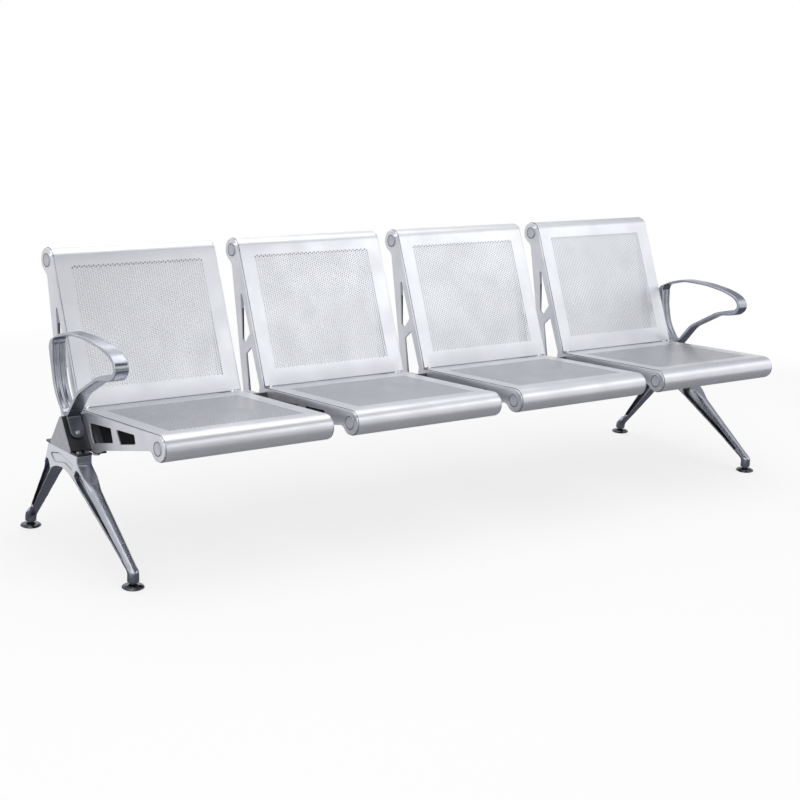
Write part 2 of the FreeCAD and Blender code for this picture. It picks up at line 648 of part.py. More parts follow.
def leg(hand):
    """One leg casting with its pockets, ankles and bolt holes."""
    word = "left" if hand < 0 else "right"
    body = new_body("leg_" + word, "%d * (Worked.bench / 2 + Sizes.leg_out)" % hand)
    outline = new_sketch(body, "Outline", "YZ_Plane")
    loop(outline, [
        under_beam("-77", "0"),
        under_beam("-78", "26") + ("round", "14"),
        front_of("-2.5", "Sizes.ankle_dome + 6"),
        front_of("9.5", "Sizes.ankle_dome - 9.5"),
        front_of("106", "Sizes.ankle_dome + 51") + ("round", "250"),
        under_beam("35.6", "23") + ("round", "Sizes.arch_round"),
        rear_of("-7", "Sizes.ankle_foot + 8.4"),
        rear_of("-2", "Sizes.ankle_foot + 25.3"),
        under_beam("103", "37.5") + ("round", "60"),
        under_beam("89", "0"),
    ])
    feature(body, "Pad", "Casting", outline, "Sizes.leg_width", Midplane=True)
    sides = new_sketch(body, "Taper", "XZ_Plane")
    for side in (-1, 1):
        foot = "%d * (Sizes.ankle / 2 - 1.5)" % side
        top = "%d * Sizes.leg_width / 2" % side
        out = "%d * (Sizes.leg_width / 2 + 5)" % side
        loop(sides, [(foot, "-5"), (foot, "Sizes.ankle_dome"),
                     (top, "Worked.leg_top - 35"), (out, "Worked.leg_top - 35"),
                     (out, "-5")])
    feature(body, "Pocket", "SideTaper", sides, Type=1, Midplane=True)
    for name, y in (("Front", "Worked.front_foot"), ("Rear", "Worked.rear_foot")):
        half = "%s + Sizes.ankle / 2" % y
        bullet = new_sketch(body, name + "AnkleProfile", "YZ_Plane")
        upright(bullet, y)
        loop(bullet, [
            (y, "Sizes.ankle_foot"),
            (half, "Sizes.ankle_foot"),
            (half, "Sizes.ankle_dome", "left", "Sizes.ankle / 2", "small"),
            (y, "Sizes.ankle_dome + Sizes.ankle / 2"),
        ])
        ankle = body.newObject("PartDesign::Revolution", name + "Ankle")
        ankle.Profile = bullet
        ankle.ReferenceAxis = (bullet, ["Axis0"])
        ankle.Angle = 360
    for name, outline in (("FrontPocket", FRONT_POCKET), ("RearPocket", REAR_POCKET), ("Badge", BADGE)):
        for side in (-1, 1):
            depth = "Sizes.leg_web / 2" if name != "Badge" else "(Sizes.leg_width / 2 - Sizes.badge_depth)"
            hollow = new_sketch(body, name + "Outline", "YZ_Plane", "%d * %s" % (side, depth))
            loop(hollow, [spot + ("round", radius) for spot, radius in outline])
            feature(body, "Pocket", name, hollow, Type=1, Reversed=side > 0)
    bolts = new_sketch(body, "BoltSpots", "XY_Plane", "Worked.leg_top")
    for end in (-1, 1):
        for beside in (-1, 1):
            circle(bolts, "%d * Sizes.leg_bolt_apart / 2" % beside,
                   "Worked.beam_y + %d * Sizes.leg_bolt_reach" % end, "Sizes.leg_bolt + 2 * Sizes.running_gap")
    feature(body, "Pocket", "BoltBores", bolts, "Sizes.leg_grip + 1")
    threads = new_sketch(body, "SpindleSpots", "XY_Plane", "Sizes.ankle_foot")
    for y in ("Worked.front_foot", "Worked.rear_foot"):
        circle(threads, "0", y, "Sizes.spindle + 2 * Sizes.running_gap")
    feature(body, "Pocket", "SpindleBores", threads, "Sizes.spindle_top + 2 - Sizes.ankle_foot", Reversed=True)
    return body


# Armrests: a strap bent into a loop, with a tongue down the beam's front face
def arm(y, z):
    """A point of the side view from the beam's top edge."""
    return "Worked.beam_y + (%s)" % y, "Worked.apex + (%s)" % z


def armrest(hand):
    """One armrest loop."""
    word = "left" if hand < 0 else "right"
    body = new_body("armrest_" + word, "%d * (Worked.bench / 2 + Sizes.arm_out)" % hand)
    lay = "Sizes.beam_gap"
    outer = new_sketch(body, "LoopOutline", "YZ_Plane")
    loop(outer, [
        face("5", lay, 1),
        face("9", "10", 1) + ("round", "3"),
        arm("Sizes.arm_back - 38.5", "Sizes.arm_top - 188") + ("round", "160"),
        arm("Sizes.arm_back", "Sizes.arm_top - 47") + ("round", "29"),
        arm("Sizes.arm_back - 65.5", "Sizes.arm_top - 16") + ("round", "200"),
        arm("-16", "Sizes.arm_top - 2.5") + ("round", "200"),
        arm("-116", "Sizes.arm_top") + ("round", "500"),
        arm("73.5 - Sizes.arm_front", "Sizes.arm_top - 10.5") + ("round", "270"),
        arm("26.5 - Sizes.arm_front", "Sizes.arm_top - 27") + ("round", "58"),
        arm("-Sizes.arm_front", "Sizes.arm_top - 57") + ("round", "26"),
        arm("30.5 - Sizes.arm_front", "Sizes.arm_top - 88.5") + ("round", "52"),
        arm("-181", "128.5") + ("round", "120"),
        arm("-71", "67.5") + ("round", "90"),
        face("10", "Sizes.strap + %s" % lay, -1),
        face("10", lay, -1),
        face("4", lay, -1),
        arm("0", "1") + ("round", "3"),
    ])
    feature(body, "Pad", "Block", outer, "Sizes.arm_width", Midplane=True)
    inner = new_sketch(body, "LoopHole", "YZ_Plane")
    loop(inner, [
        arm("-0.3", "-3.2") + ("round", "16"),
        arm("Sizes.arm_back - 47.5", "Sizes.arm_top - 181") + ("round", "150"),
        arm("Sizes.arm_back - 29", "Sizes.arm_top - 101") + ("round", "100"),
        arm("Sizes.arm_back - 26", "Sizes.arm_top - 37") + ("round", "20"),
        arm("-17.5", "Sizes.arm_top - 10.5") + ("round", "190"),
        arm("-116", "Sizes.arm_top - 7.3") + ("round", "490"),
        arm("75.5 - Sizes.arm_front", "Sizes.arm_top - 18.5") + ("round", "262"),
        arm("34.5 - Sizes.arm_front", "Sizes.arm_top - 33.5") + ("round", "49.5"),
        arm("9.9 - Sizes.arm_front", "Sizes.arm_top - 62.3") + ("round", "14.5"),
        arm("-177.4", "139") + ("round", "131"),
        arm("-65", "75") + ("round", "99"),
    ])
    feature(body, "Pocket", "Opening", inner, Type=1, Midplane=True)
    half = "Sizes.arm_width / 2"
    low = "%s - Sizes.tongue_reach" % half
    tongue = front_face(body, "TongueOutline", lay)
    loop(tongue, [
        ("-%s" % half, "-8"),
        ("-%s" % half, low, "left", "%s + 0.4" % half, "small"),
        (half, low),
        (half, "-8"),
    ])
    feature(body, "Pad", "Tongue", tongue, "Sizes.strap")
    screw = front_face(body, "ScrewSpot", lay)
    circle(screw, "0", "-Sizes.arm_screw_reach", "Sizes.arm_screw + 2 * Sizes.fit_gap")
    feature(body, "Pocket", "ScrewHole", screw, Type=1, Reversed=True)
    for side in (-1, 1):
        channel = new_sketch(body, "ChannelOutline", "YZ_Plane", "%d * Sizes.channel_rib / 2" % side)
        deep = "Sizes.channel_depth"
        loop(channel, [
            arm("13.9", "17"),
            arm("17.2 + 0.68 * %s" % deep, "13.2 - 0.73 * %s" % deep),
            arm("Sizes.arm_back - 47.5 + 0.9 * %s" % deep, "Sizes.arm_top - 181 - 0.52 * %s" % deep)
            + ("round", "154"),
            arm("Sizes.arm_back - 29 + %s" % deep, "Sizes.arm_top - 101.4") + ("round", "104"),
            arm("Sizes.arm_back - 26.6 + %s" % deep, "Sizes.arm_top - 50"),
            arm("Sizes.arm_back - 32", "Sizes.arm_top - 50"),
            arm("Sizes.arm_back - 36", "Sizes.arm_top - 101.4"),
            arm("Sizes.arm_back - 61.5", "Sizes.arm_top - 176.5"),
        ])
        feature(body, "Pocket", "Channel", channel,
                "%s - Sizes.channel_rim - Sizes.channel_rib / 2" % half, Reversed=side > 0)
    return body


# Adjustable feet: rubber pad, pressed dome and a spindle that screws into the ankle
FEET = []
for side, hand in (("left", -1), ("right", 1)):
    for end in ("front", "rear"):
        FEET.append((end + "_" + side, "%d * (Worked.bench / 2 + Sizes.leg_out)" % hand,
                     "Worked.%s_foot" % end))


def foot(name, x, y):
    """One foot, in three pieces."""
    rubber = new_body("foot_pad_" + name, x, y)
    rim = "Sizes.pad_diameter / 2"
    turned(rubber, "Pad", [("0", "0"), (rim + " - 1", "0"), (rim, "1"), (rim, "Sizes.pad_depth"),
                           ("0", "Sizes.pad_depth")])
    dome = new_body("foot_dome_" + name, x, y)
    bore = "Sizes.spindle / 2 + Sizes.running_gap"
    flange = "Sizes.flange / 2"
    over = "Sizes.pad_depth + 1.5 + Sizes.flange_depth"
    turned(dome, "Dome", [
        ("0", "Sizes.pad_depth"),
        (rim + " + Sizes.running_gap", "Sizes.pad_depth"),
        (rim + " + Sizes.running_gap", "Sizes.glide_rim"),
        ("Sizes.glide / 2", "Sizes.glide_rim"),
        ("Sizes.glide / 2", "Sizes.glide_rim + 2"),
        ("Sizes.glide / 2 - 7", "Sizes.glide_rim + 7"),
        ("Sizes.glide / 2 - 19", "Sizes.glide_top"),
        (bore, "Sizes.glide_top"),
        (bore, over + " + Sizes.running_gap"),
        (flange + " + Sizes.running_gap", over + " + Sizes.running_gap"),
        (flange + " + Sizes.running_gap", "Sizes.pad_depth + 1.5 - Sizes.running_gap"),
        ("0", "Sizes.pad_depth + 1.5 - Sizes.running_gap"),
    ])
    spindle = new_body("foot_spindle_" + name, x, y)
    turned(spindle, "Shank", [
        ("0", "Sizes.pad_depth + 1.5"),
        (flange, "Sizes.pad_depth + 1.5"),
        (flange, over),
        ("Sizes.spindle / 2", over),
        ("Sizes.spindle / 2", "Sizes.spindle_top - 1"),
        ("Sizes.spindle / 2 - 1", "Sizes.spindle_top"),
        ("0", "Sizes.spindle_top"),
    ])
    hexagon = new_sketch(spindle, "Hexagon", "XY_Plane", "Sizes.glide_top + 0.3")
    reach = "Sizes.collar / sqrt(3)"
    loop(hexagon, [("%s * cos(%d)" % (reach, turn), "%s * sin(%d)" % (reach, turn))
                   for turn in range(0, 360, 60)])
    feature(spindle, "Pad", "Collar", hexagon,
            "Sizes.ankle_foot - Sizes.glide_top - 0.3 - 4 * Sizes.running_gap")


# Fasteners and caps, each set one master repeated where it belongs
def cylinder(name, diameter, depth, z="0"):
    """A plain upright cylinder."""
    item = doc.addObject("Part::Cylinder", name)
    item.setExpression("Radius", "(%s) / 2" % diameter)
    item.setExpression("Height", depth)
    item.setExpression("Placement.Base.z", z)
    return item


def hexagon_head(name, flats, depth):
    """A plain six-sided head or nut."""
    item = doc.addObject("Part::Prism", name)
    item.Polygon = 6
    item.setExpression("Circumradius", "(%s) / sqrt(3)" % flats)
    item.setExpression("Height", depth)
    return item


def joined(name, kind, first, second):
    """Two shapes fused or cut."""
    item = doc.addObject("Part::" + kind, name)
    item.Base = first
    item.Tool = second
    return item


def repeated(label, master, spots):
    """One named set: the master at each spot, (axis, angle, x, y, z)."""
    copies = []
    for index, (axis, angle, x, y, z) in enumerate(spots, 1):
        copy = doc.addObject("App::Link", "%s_%d" % (label, index))
        copy.LinkedObject = master
        copy.Placement = FreeCAD.Placement(V(0, 0, 0), FreeCAD.Rotation(axis, 10))
        copy.setExpression("Placement.Rotation.Angle", angle)
        for name, rule in (("x", x), ("y", y), ("z", z)):
            copy.setExpression("Placement.Base." + name, rule)
        copies.append(copy)
    bundle = doc.addObject("Part::Compound", label)
    bundle.Label = label
    bundle.Links = copies
    finished.append(bundle)


def frame_faces():
    """The outer face of every side frame, and which way it looks."""
    for block in BLOCKS:
        yield seat_left(block), 1
        yield "%s + Sizes.seat_width" % seat_left(block), -1


X_AXIS = V(1, 0, 0)
Y_AXIS = V(0, 1, 0)
Z_AXIS = V(0, 0, 1)


def fasteners():
    """Every set of bolts, nuts, screws and caps."""
    nut = joined("NutBody", "Cut", hexagon_head("NutHexagon", "Sizes.nut_flats", "Sizes.nut_depth"),
                 cylinder("NutBore", "Sizes.stud + 2 * Sizes.running_gap", "Sizes.nut_depth"))
    under = "-(Worked.seat_face + Sizes.ledge_depth + Sizes.nut_depth)"
    for label, point, turn in (("seat_nuts", seat, "-Sizes.seat_tilt"),
                               ("back_nuts", back, "90 - Sizes.back_recline")):
        y, z = point("Sizes.stud_along", under)
        repeated(label, nut, [(X_AXIS, turn, "%s + %d * Sizes.stud_in" % (x, hand), y, z)
                              for x, hand in frame_faces()])
    bolt = joined("ClampBoltBody", "Fuse", hexagon_head("ClampBoltHead", "1.7 * Sizes.clamp_bolt",
                                                        "0.64 * Sizes.clamp_bolt"),
                  cylinder("ClampBoltShank", "Sizes.clamp_bolt",
                           "0.64 * Sizes.clamp_bolt + Sizes.clamp_plate + Sizes.clamp_grip"))
    repeated("clamp_bolts", bolt, [
        (Z_AXIS, "30", "%s + %d * Sizes.clamp_bolt_in" % (x, hand),
         "Worked.beam_y + %d * Sizes.clamp_bolt_reach" % end, "Worked.clamp_face - 0.64 * Sizes.clamp_bolt")
        for x, hand in frame_faces() for end in (-1, 1)])
    leg_bolt = joined("LegBoltBody", "Fuse", hexagon_head("LegBoltHead", "1.625 * Sizes.leg_bolt",
                                                          "0.66 * Sizes.leg_bolt"),
                      cylinder("LegBoltShank", "Sizes.leg_bolt",
                               "0.66 * Sizes.leg_bolt + Sizes.bracket + Sizes.leg_grip"))
    repeated("leg_bolts", leg_bolt, [
        (X_AXIS, "180",
         "%d * (Worked.bench / 2 + Sizes.leg_out) + %d * Sizes.leg_bolt_apart / 2" % (hand, beside),
         "Worked.beam_y + %d * Sizes.leg_bolt_reach" % end, "Worked.beam_base + 0.66 * Sizes.leg_bolt")
        for hand in (-1, 1) for end in (-1, 1) for beside in (-1, 1)])
    grip = "Sizes.strap + Sizes.beam_gap + Sizes.beam_wall + 4"
    head = doc.addObject("Part::Cone", "ArmScrewHead")
    head.setExpression("Radius1", "1.2 * Sizes.arm_screw")
    head.setExpression("Radius2", "0.7 * Sizes.arm_screw")
    head.setExpression("Height", "0.5 * Sizes.arm_screw")
    shank = cylinder("ArmScrewShank", "Sizes.arm_screw", grip, "-(%s)" % grip)
    screw = joined("ArmScrewBody", "Fuse", head, shank)
    y, z = face("Sizes.arm_screw_reach", "Sizes.strap + Sizes.beam_gap", -1)
    repeated("armrest_screws", screw, [
        (X_AXIS, "atan(Worked.slope)", "%d * (Worked.bench / 2 + Sizes.arm_out)" % hand, y, z)
        for hand in (-1, 1)])
    cap = cylinder("CapBody", "Sizes.cap_diameter", "Sizes.cap_depth")
    spots = []
    for x, hand in frame_faces():
        for y, z in (seat("Sizes.seat_reach", "-Sizes.roll_radius"),
                     back("Sizes.back_reach", "-Sizes.roll_radius")):
            spots.append((Y_AXIS, "%d" % (-90 * hand), x, y, z))
    repeated("head_caps", cap, spots)


for block in BLOCKS:
    side_frame(block, 1)
    side_frame(block, -1)
    bent_sheet("seat_pan_%d" % block, block, seat, seat_plane, "Sizes.seat_reach", -1)
    bent_sheet("back_panel_%d" % block, block, back, back_plane, "Sizes.back_reach", 1)
    clamp_plate(block, 1)
    clamp_plate(block, -1)
make_beam()
for hand in (-1, 1):
    end_cap(hand)
    leg_plate(hand)
    leg(hand)
    armrest(hand)
for name, x, y in FEET:
    foot(name, x, y)
fasteners()
doc.removeObject(reckoner.Name)
doc.recompute()

# Every feature and sub-part must be sound before anything is written
faults = [item.Name for item in doc.Objects if "Invalid" in item.State or "Error" in item.State]
faults += [item.Label for item in finished if item.Shape.isNull() or not item.Shape.isValid()]
if faults:
    raise RuntimeError("faulty: " + ", ".join(faults))
os.makedirs("parts", exist_ok=True)
for item in finished:
    item.Shape.exportStep("parts/%s.step" % item.Label)
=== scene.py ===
import logging
import math
from dataclasses import dataclass, field
from enum import Enum
from functools import partial

import bmesh
import bpy
import numpy as np
from mathutils import Euler, Matrix, Vector
from mathutils.bvhtree import BVHTree


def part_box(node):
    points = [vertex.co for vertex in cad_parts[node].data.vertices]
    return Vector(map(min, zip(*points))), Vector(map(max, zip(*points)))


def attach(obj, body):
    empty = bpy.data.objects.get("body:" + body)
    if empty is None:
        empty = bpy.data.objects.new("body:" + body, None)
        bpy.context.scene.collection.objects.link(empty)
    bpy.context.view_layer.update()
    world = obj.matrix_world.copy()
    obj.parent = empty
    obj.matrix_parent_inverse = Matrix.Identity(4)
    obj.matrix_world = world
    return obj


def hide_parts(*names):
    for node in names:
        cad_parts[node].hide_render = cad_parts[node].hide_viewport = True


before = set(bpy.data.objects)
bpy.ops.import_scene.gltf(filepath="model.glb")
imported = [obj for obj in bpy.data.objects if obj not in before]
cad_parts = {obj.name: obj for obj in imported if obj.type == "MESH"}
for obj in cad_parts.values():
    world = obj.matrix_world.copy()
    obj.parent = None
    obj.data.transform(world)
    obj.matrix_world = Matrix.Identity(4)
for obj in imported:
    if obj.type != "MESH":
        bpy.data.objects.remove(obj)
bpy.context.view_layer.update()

# The looks of a four-seat beam seating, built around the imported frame.
# Lengths in names that end in MM or _mm are millimetres; every mesh is in metres.

MM = 0.001
WELD = 0.002 * MM  # the CAD's mesh is split at its edges; nearer points than this are one
SEATS = (1, 2, 3, 4)
HANDS = ("left", "right")
PLACES = ("front_left", "front_right", "rear_left", "rear_right")
WHITE = (1.0, 1.0, 1.0, 1.0)
log = logging.getLogger("beam_seating")

Pair = tuple[float, float]
Point = tuple[float, float, float]
Tree = bpy.types.NodeTree
Socket = bpy.types.NodeSocket
Node = bpy.types.Node
Mesh = bpy.types.Mesh
Piece = bpy.types.Object


def linear(hex_colour: str) -> tuple[float, float, float, float]:
    """Turn an sRGB hex colour into linear light.

    Args:
        hex_colour: A colour such as "#c9ccd2".

    Returns:
        Red, green, blue and an alpha of 1, as the shader's sockets take them.
    """
    parts = [int(hex_colour[at:at + 2], 16) / 255 for at in (1, 3, 5)]
    red, green, blue = (p / 12.92 if p <= 0.04045 else ((p + 0.055) / 1.055) ** 2.4
                        for p in parts)
    return red, green, blue, 1.0


def add(tree: Tree, kind: str, inputs: dict | None = None, **settings: object) -> Node:
    """Add a node with its settings, its input values and its links.

    Args:
        tree: The node tree to add to.
        kind: The node's type name.
        inputs: Input name or number to a plain value, or to the output that feeds it.
        settings: The node's own properties.

    Returns:
        The new node.
    """
    node = tree.nodes.new(kind)
    for name, value in settings.items():
        setattr(node, name, value)
    for key, value in (inputs or {}).items():
        if isinstance(value, Socket):
            tree.links.new(value, node.inputs[key])
        else:
            node.inputs[key].default_value = value
    return node


def maths(tree: Tree, operation: str, *values: Socket | float) -> Socket:
    """Add a maths node and return its result."""
    return add(tree, "ShaderNodeMath", dict(enumerate(values)), operation=operation).outputs[0]


def vector(tree: Tree, **parts: Socket | float) -> Socket:
    """Put a vector together from X, Y and Z; what is left out is 0."""
    return add(tree, "ShaderNodeCombineXYZ", parts).outputs[0]


def remap(tree: Tree, value: Socket, start: float, end: float, low: float = 0.0,
          high: float = 1.0) -> Socket:
    """Let a value's run from start to end become a run from low to high."""
    ends = {"Value": value, "From Min": start, "From Max": end, "To Min": low, "To Max": high}
    return add(tree, "ShaderNodeMapRange", ends).outputs["Result"]


def mix(tree: Tree, share: Socket, start: object, end: object, kind: str = "RGBA") -> Socket:
    """Mix two colours, or two numbers if the kind is FLOAT."""
    sides = {"Factor": share, "A": start, "B": end}
    return add(tree, "ShaderNodeMix", sides, data_type=kind).outputs["Result"]


def overlay(tree: Tree, socket: Socket, share: Socket, end: object) -> None:
    """Mix another colour or number into what feeds a socket."""
    kind = "FLOAT" if isinstance(end, float) else "RGBA"
    tree.links.new(mix(tree, share, socket.links[0].from_socket, end, kind), socket)


def sight(tree: Tree) -> Socket:
    """Give 1 to rays of the camera and of reflections, and 0 to those that carry light."""
    path = add(tree, "ShaderNodeLightPath").outputs
    return maths(tree, "MAXIMUM", path["Is Camera Ray"], path["Is Glossy Ray"])


class Grain(Enum):
    """How the fine relief of a surface runs."""

    EVEN = (1.0, 1.0, 1.0)
    ALONG_BENCH = (0.04, 1.0, 1.0)
    UPRIGHT = (1.0, 1.0, 0.08)


@dataclass(frozen=True)
class Layer:
    """Another colour and roughness over part of a surface; each one here paints light or shade.

    Attributes:
        share: Name of the mesh's share that says where it lies; a layer of painted shade in hollows
            has none.
        colour: Its colour, sRGB hex like every colour here.
        run: Values of that share, or of the open air, between which it sets in.
        roughness: Its roughness; 0 keeps the surface's own.
        hollow_mm: For a layer of painted shade in hollows, how near the opposite wall lies.
    """

    share: str
    colour: str
    run: Pair | None = None
    roughness: float = 0.0
    hollow_mm: float = 0.0

    def cover(self, tree: Tree, shader: Node) -> None:
        """Lay it over what feeds the shader.

        Args:
            tree: The material's node tree.
            shader: Its surface shader.
        """
        # A hollow layer paints shade where ambient occlusion finds walls near
        if self.hollow_mm:
            where = add(tree, "ShaderNodeAmbientOcclusion", {"Distance": self.hollow_mm * MM},
                        samples=6, only_local=True).outputs["AO"]
        else:
            where = add(tree, "ShaderNodeAttribute", attribute_name=self.share).outputs["Fac"]
        if self.run:
            where = remap(tree, where, *self.run)
        overlay(tree, shader.inputs["Base Color"], where, linear(self.colour))
        if self.roughness:
            overlay(tree, shader.inputs["Roughness"], where, self.roughness)


@dataclass(frozen=True)
class Finish:
    """A surface: what it is made of, how it was made, and what that gives the eye.

    Attributes:
        name: The real material and how its surface was made.
        colour: Its colour.
        shade: The colour of its darker patches.
        metallic: 1 for bare metal, between for a coat full of metal flake.
        roughness: The middle of its roughness.
        spread: How far the roughness strays to each side.
        patch_mm: Size of its patches.
        relief_mm: Size of its fine relief.
        depth_mm: Depth of that relief.
        grain: Which way that relief runs.
        edge_mm: Radius of the softened edges.
        layers: What lies over it, from below.
    """

    name: str
    colour: str
    shade: str
    metallic: float
    roughness: float
    spread: float
    patch_mm: float
    relief_mm: float
    depth_mm: float
    grain: Grain = Grain.EVEN
    edge_mm: float = 0.0
    layers: tuple[Layer, ...] = ()

    def material(self) -> bpy.types.Material:
        """Make the material once.

        Returns:
            The node material of this finish.
        """
        made = bpy.data.materials.get(self.name)
        if made:
            return made
        made = bpy.data.materials.new(self.name)
        made.use_nodes = True
        made.diffuse_color = linear(self.colour)
        tree = made.node_tree
        shader = tree.nodes["Principled BSDF"]
        shader.inputs["Metallic"].default_value = self.metallic
        place = add(tree, "ShaderNodeTexCoord").outputs["Object"]
        self.paint(tree, shader, place)
        self.relieve(tree, shader, place)
        return made

    def paint(self, tree: Tree, shader: Node, place: Socket) -> None:
        """Give the colour and the roughness their patches and their layers.

        Args:
            tree: The material's node tree.
            shader: Its surface shader.
            place: The place on the object.
        """
        noise = {"Vector": place, "Scale": 1 / (self.patch_mm * MM), "Detail": 3.0}
        cloud = add(tree, "ShaderNodeTexNoise", noise).outputs["Fac"]
        tint = mix(tree, remap(tree, cloud, 0.35, 0.65), linear(self.shade), linear(self.colour))
        gloss = remap(tree, cloud, 0.3, 0.7, self.roughness + self.spread,
                      self.roughness - self.spread)
        tree.links.new(tint, shader.inputs["Base Color"])
        tree.links.new(gloss, shader.inputs["Roughness"])
        for layer in self.layers:
            layer.cover(tree, shader)

    def relieve(self, tree: Tree, shader: Node, place: Socket) -> None:
        """Give the surface its fine relief and its softened edges.

        Args:
            tree: The material's node tree.
            shader: Its surface shader.
            place: The place on the object.
        """
        run = add(tree, "ShaderNodeMapping", {"Vector": place, "Scale": self.grain.value})
        noise = {"Vector": run.outputs["Vector"], "Scale": 1 / (self.relief_mm * MM), "Detail": 2.0}
        skin = add(tree, "ShaderNodeTexNoise", noise).outputs["Fac"]
        bump = add(tree, "ShaderNodeBump",
                   {"Height": skin, "Distance": self.depth_mm * MM, "Strength": 1.0})
        if self.edge_mm:
            soft = add(tree, "ShaderNodeBevel", {"Radius": self.edge_mm * MM}, samples=4)
            tree.links.new(soft.outputs["Normal"], bump.inputs["Normal"])
        tree.links.new(bump.outputs["Normal"], shader.inputs["Normal"])


# Steel sheet, powder coated in silver: orange peel about 2 mm across, even and a little glossy,
# with painted shade in a ring round each punched hole
SHEET_COAT = Finish("Powder coated steel sheet", "#d8dadf", "#d1d3d8", 0.67, 0.36, 0.03,
                    90, 2.2, 0.01, layers=(Layer("cut", "#85888f", (0.68, 0.8)),))
# Painted shade: the coat inside the punched holes, on the sheets' cut edges and in the plugs'
# grooves, darker and duller
EDGE_SHADE = Finish("Punched edges and grooves, painted shade", "#4c4f55", "#44464c", 0.3, 0.5, 0.05, 3, 0.8, 0.01)
# The frames' hollows and the inner side of their saddles, painted dark as shade
SHADED_INSIDE = Finish("Cast aluminium, painted shade", "#484a50", "#3e4046", 0.3, 0.55, 0.06,
                20, 1.6, 0.03)
# The silver coat over a sand-textured casting, a little greyer than on sheet
CAST_COAT = Finish("Powder coated cast aluminium", "#d2d4da", "#cbcdd3", 0.75, 0.36, 0.04,
                   60, 1.6, 0.015, edge_mm=1.6)
# Cast aluminium, polished: a slow waviness left by the wheel and faint cloudy patches. Hub faces
# get a painted highlight; parts left as cast and hollows the wheel misses are rougher and get
# painted shade
POLISHED = Finish("Polished cast aluminium", "#a9acb5", "#a0a3ac", 1.0, 0.27, 0.04,
                  45, 7.0, 0.008, grain=Grain.UPRIGHT,
                  layers=(Layer("bright_flat", "#cdd0d7"), Layer("rough_and_painted_shade", "#5b5e66", roughness=0.46),
                          Layer("", "#54575f", (0.92, 0.55), 0.5, 18.0)))
# Extruded beam and pressed plates, black stoved coat: nearly even, with a low satin gloss
BEAM_COAT = Finish("Black stoved coat", "#1a1c1f", "#17191c", 0.0, 0.42, 0.05, 70, 1.8, 0.015,
                   grain=Grain.ALONG_BENCH, edge_mm=0.6)
# Injection moulded grey cap, fine spark-eroded texture
GREY_PLASTIC = Finish("Moulded grey nylon", "#a3a6ac", "#9da0a6", 0.0, 0.48, 0.04, 20, 0.6, 0.01,
                      edge_mm=0.5)
# Moulded plug, silver pigment
SILVER_PLASTIC = Finish("Moulded silver ABS", "#bcbfc6", "#b7bac1", 0.25, 0.36, 0.03,
                        12, 0.6, 0.006)
# Pressed steel, dark chrome plated: a mirror with a slight haze where mops have been
CHROME = Finish("Dark chrome plated steel", "#515359", "#46484e", 1.0, 0.12, 0.05, 14, 5.0, 0.004)
# Steel fasteners, zinc plated: mottled grey, half dull
ZINC = Finish("Zinc plated steel", "#a9abad", "#979a9e", 1.0, 0.36, 0.08, 5, 0.8, 0.008,
              edge_mm=0.3)
# Vulcanised rubber, matt, with a dusty bloom
RUBBER = Finish("Black moulded rubber", "#1d1d1e", "#262627", 0.0, 0.82, 0.06, 9, 0.7, 0.02,
                edge_mm=0.3)


def coat(mesh: Mesh, *finishes: Finish) -> None:
    """Give a mesh its finishes.

    Args:
        mesh: The mesh.
        finishes: Its finishes, in the order of its faces' material numbers.
    """
    mesh.materials.clear()
    for finish in finishes:
        mesh.materials.append(finish.material())


def dress(name: str, finish: Finish) -> None:
    """Give a CAD node its finish."""
    coat(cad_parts[name].data, finish)
    log.info("%s: %s", name, finish.name)


def solid(name: str, mesh: Mesh) -> Piece:
    """Put a mesh in the scene as a piece at the origin.

    Args:
        name: The piece's name.
        mesh: Its mesh, in the frame's place.

    Returns:
        The new object.
    """
    piece = bpy.data.objects.new(name, mesh)
    bpy.context.scene.collection.objects.link(piece)
    return piece


def fit(piece: Piece, body: str, slot: str, *nodes: str) -> None:
    """Let a piece ride on its body and stand for its CAD nodes.

    Args:
        piece: The piece.
        body: The CAD body it moves with.
        slot: The record's material slot; not used.
        nodes: The CAD nodes it stands for.
    """
    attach(piece, body)
    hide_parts(*nodes)
    log.info("%s: %d faces, for %s", piece.name, len(piece.data.polygons), ", ".join(nodes))


def bake(piece: Piece) -> None:
    """Make what the modifiers give the plain mesh.

    Args:
        piece: The piece, which loses its modifiers.
    """
    mesh = bpy.data.meshes.new_from_object(
        piece.evaluated_get(bpy.context.evaluated_depsgraph_get()))
    piece.modifiers.clear()
    piece.data = mesh


def welded(node: str) -> bmesh.types.BMesh:
    """Take a CAD node's mesh with its split edges joined.

    Args:
        node: The node's name.

    Returns:
        The working shape.
    """
    shape = bmesh.new()
    shape.from_mesh(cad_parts[node].data)
    bmesh.ops.remove_doubles(shape, verts=shape.verts, dist=WELD)
    return shape


def settled(shape: bmesh.types.BMesh, name: str) -> Mesh:
    """Turn a working shape into a mesh.

    Args:
        shape: The shape, which is freed.
        name: The mesh's name.

    Returns:
        The mesh.
    """
    mesh = bpy.data.meshes.new(name)
    shape.to_mesh(mesh)
    shape.free()
    return mesh


def soften(mesh: Mesh, angle: float) -> None:
    """Shade a mesh smooth, but for edges sharper than an angle in degrees."""
    mesh.shade_smooth()
    mesh.set_sharp_from_angle(angle=math.radians(angle))


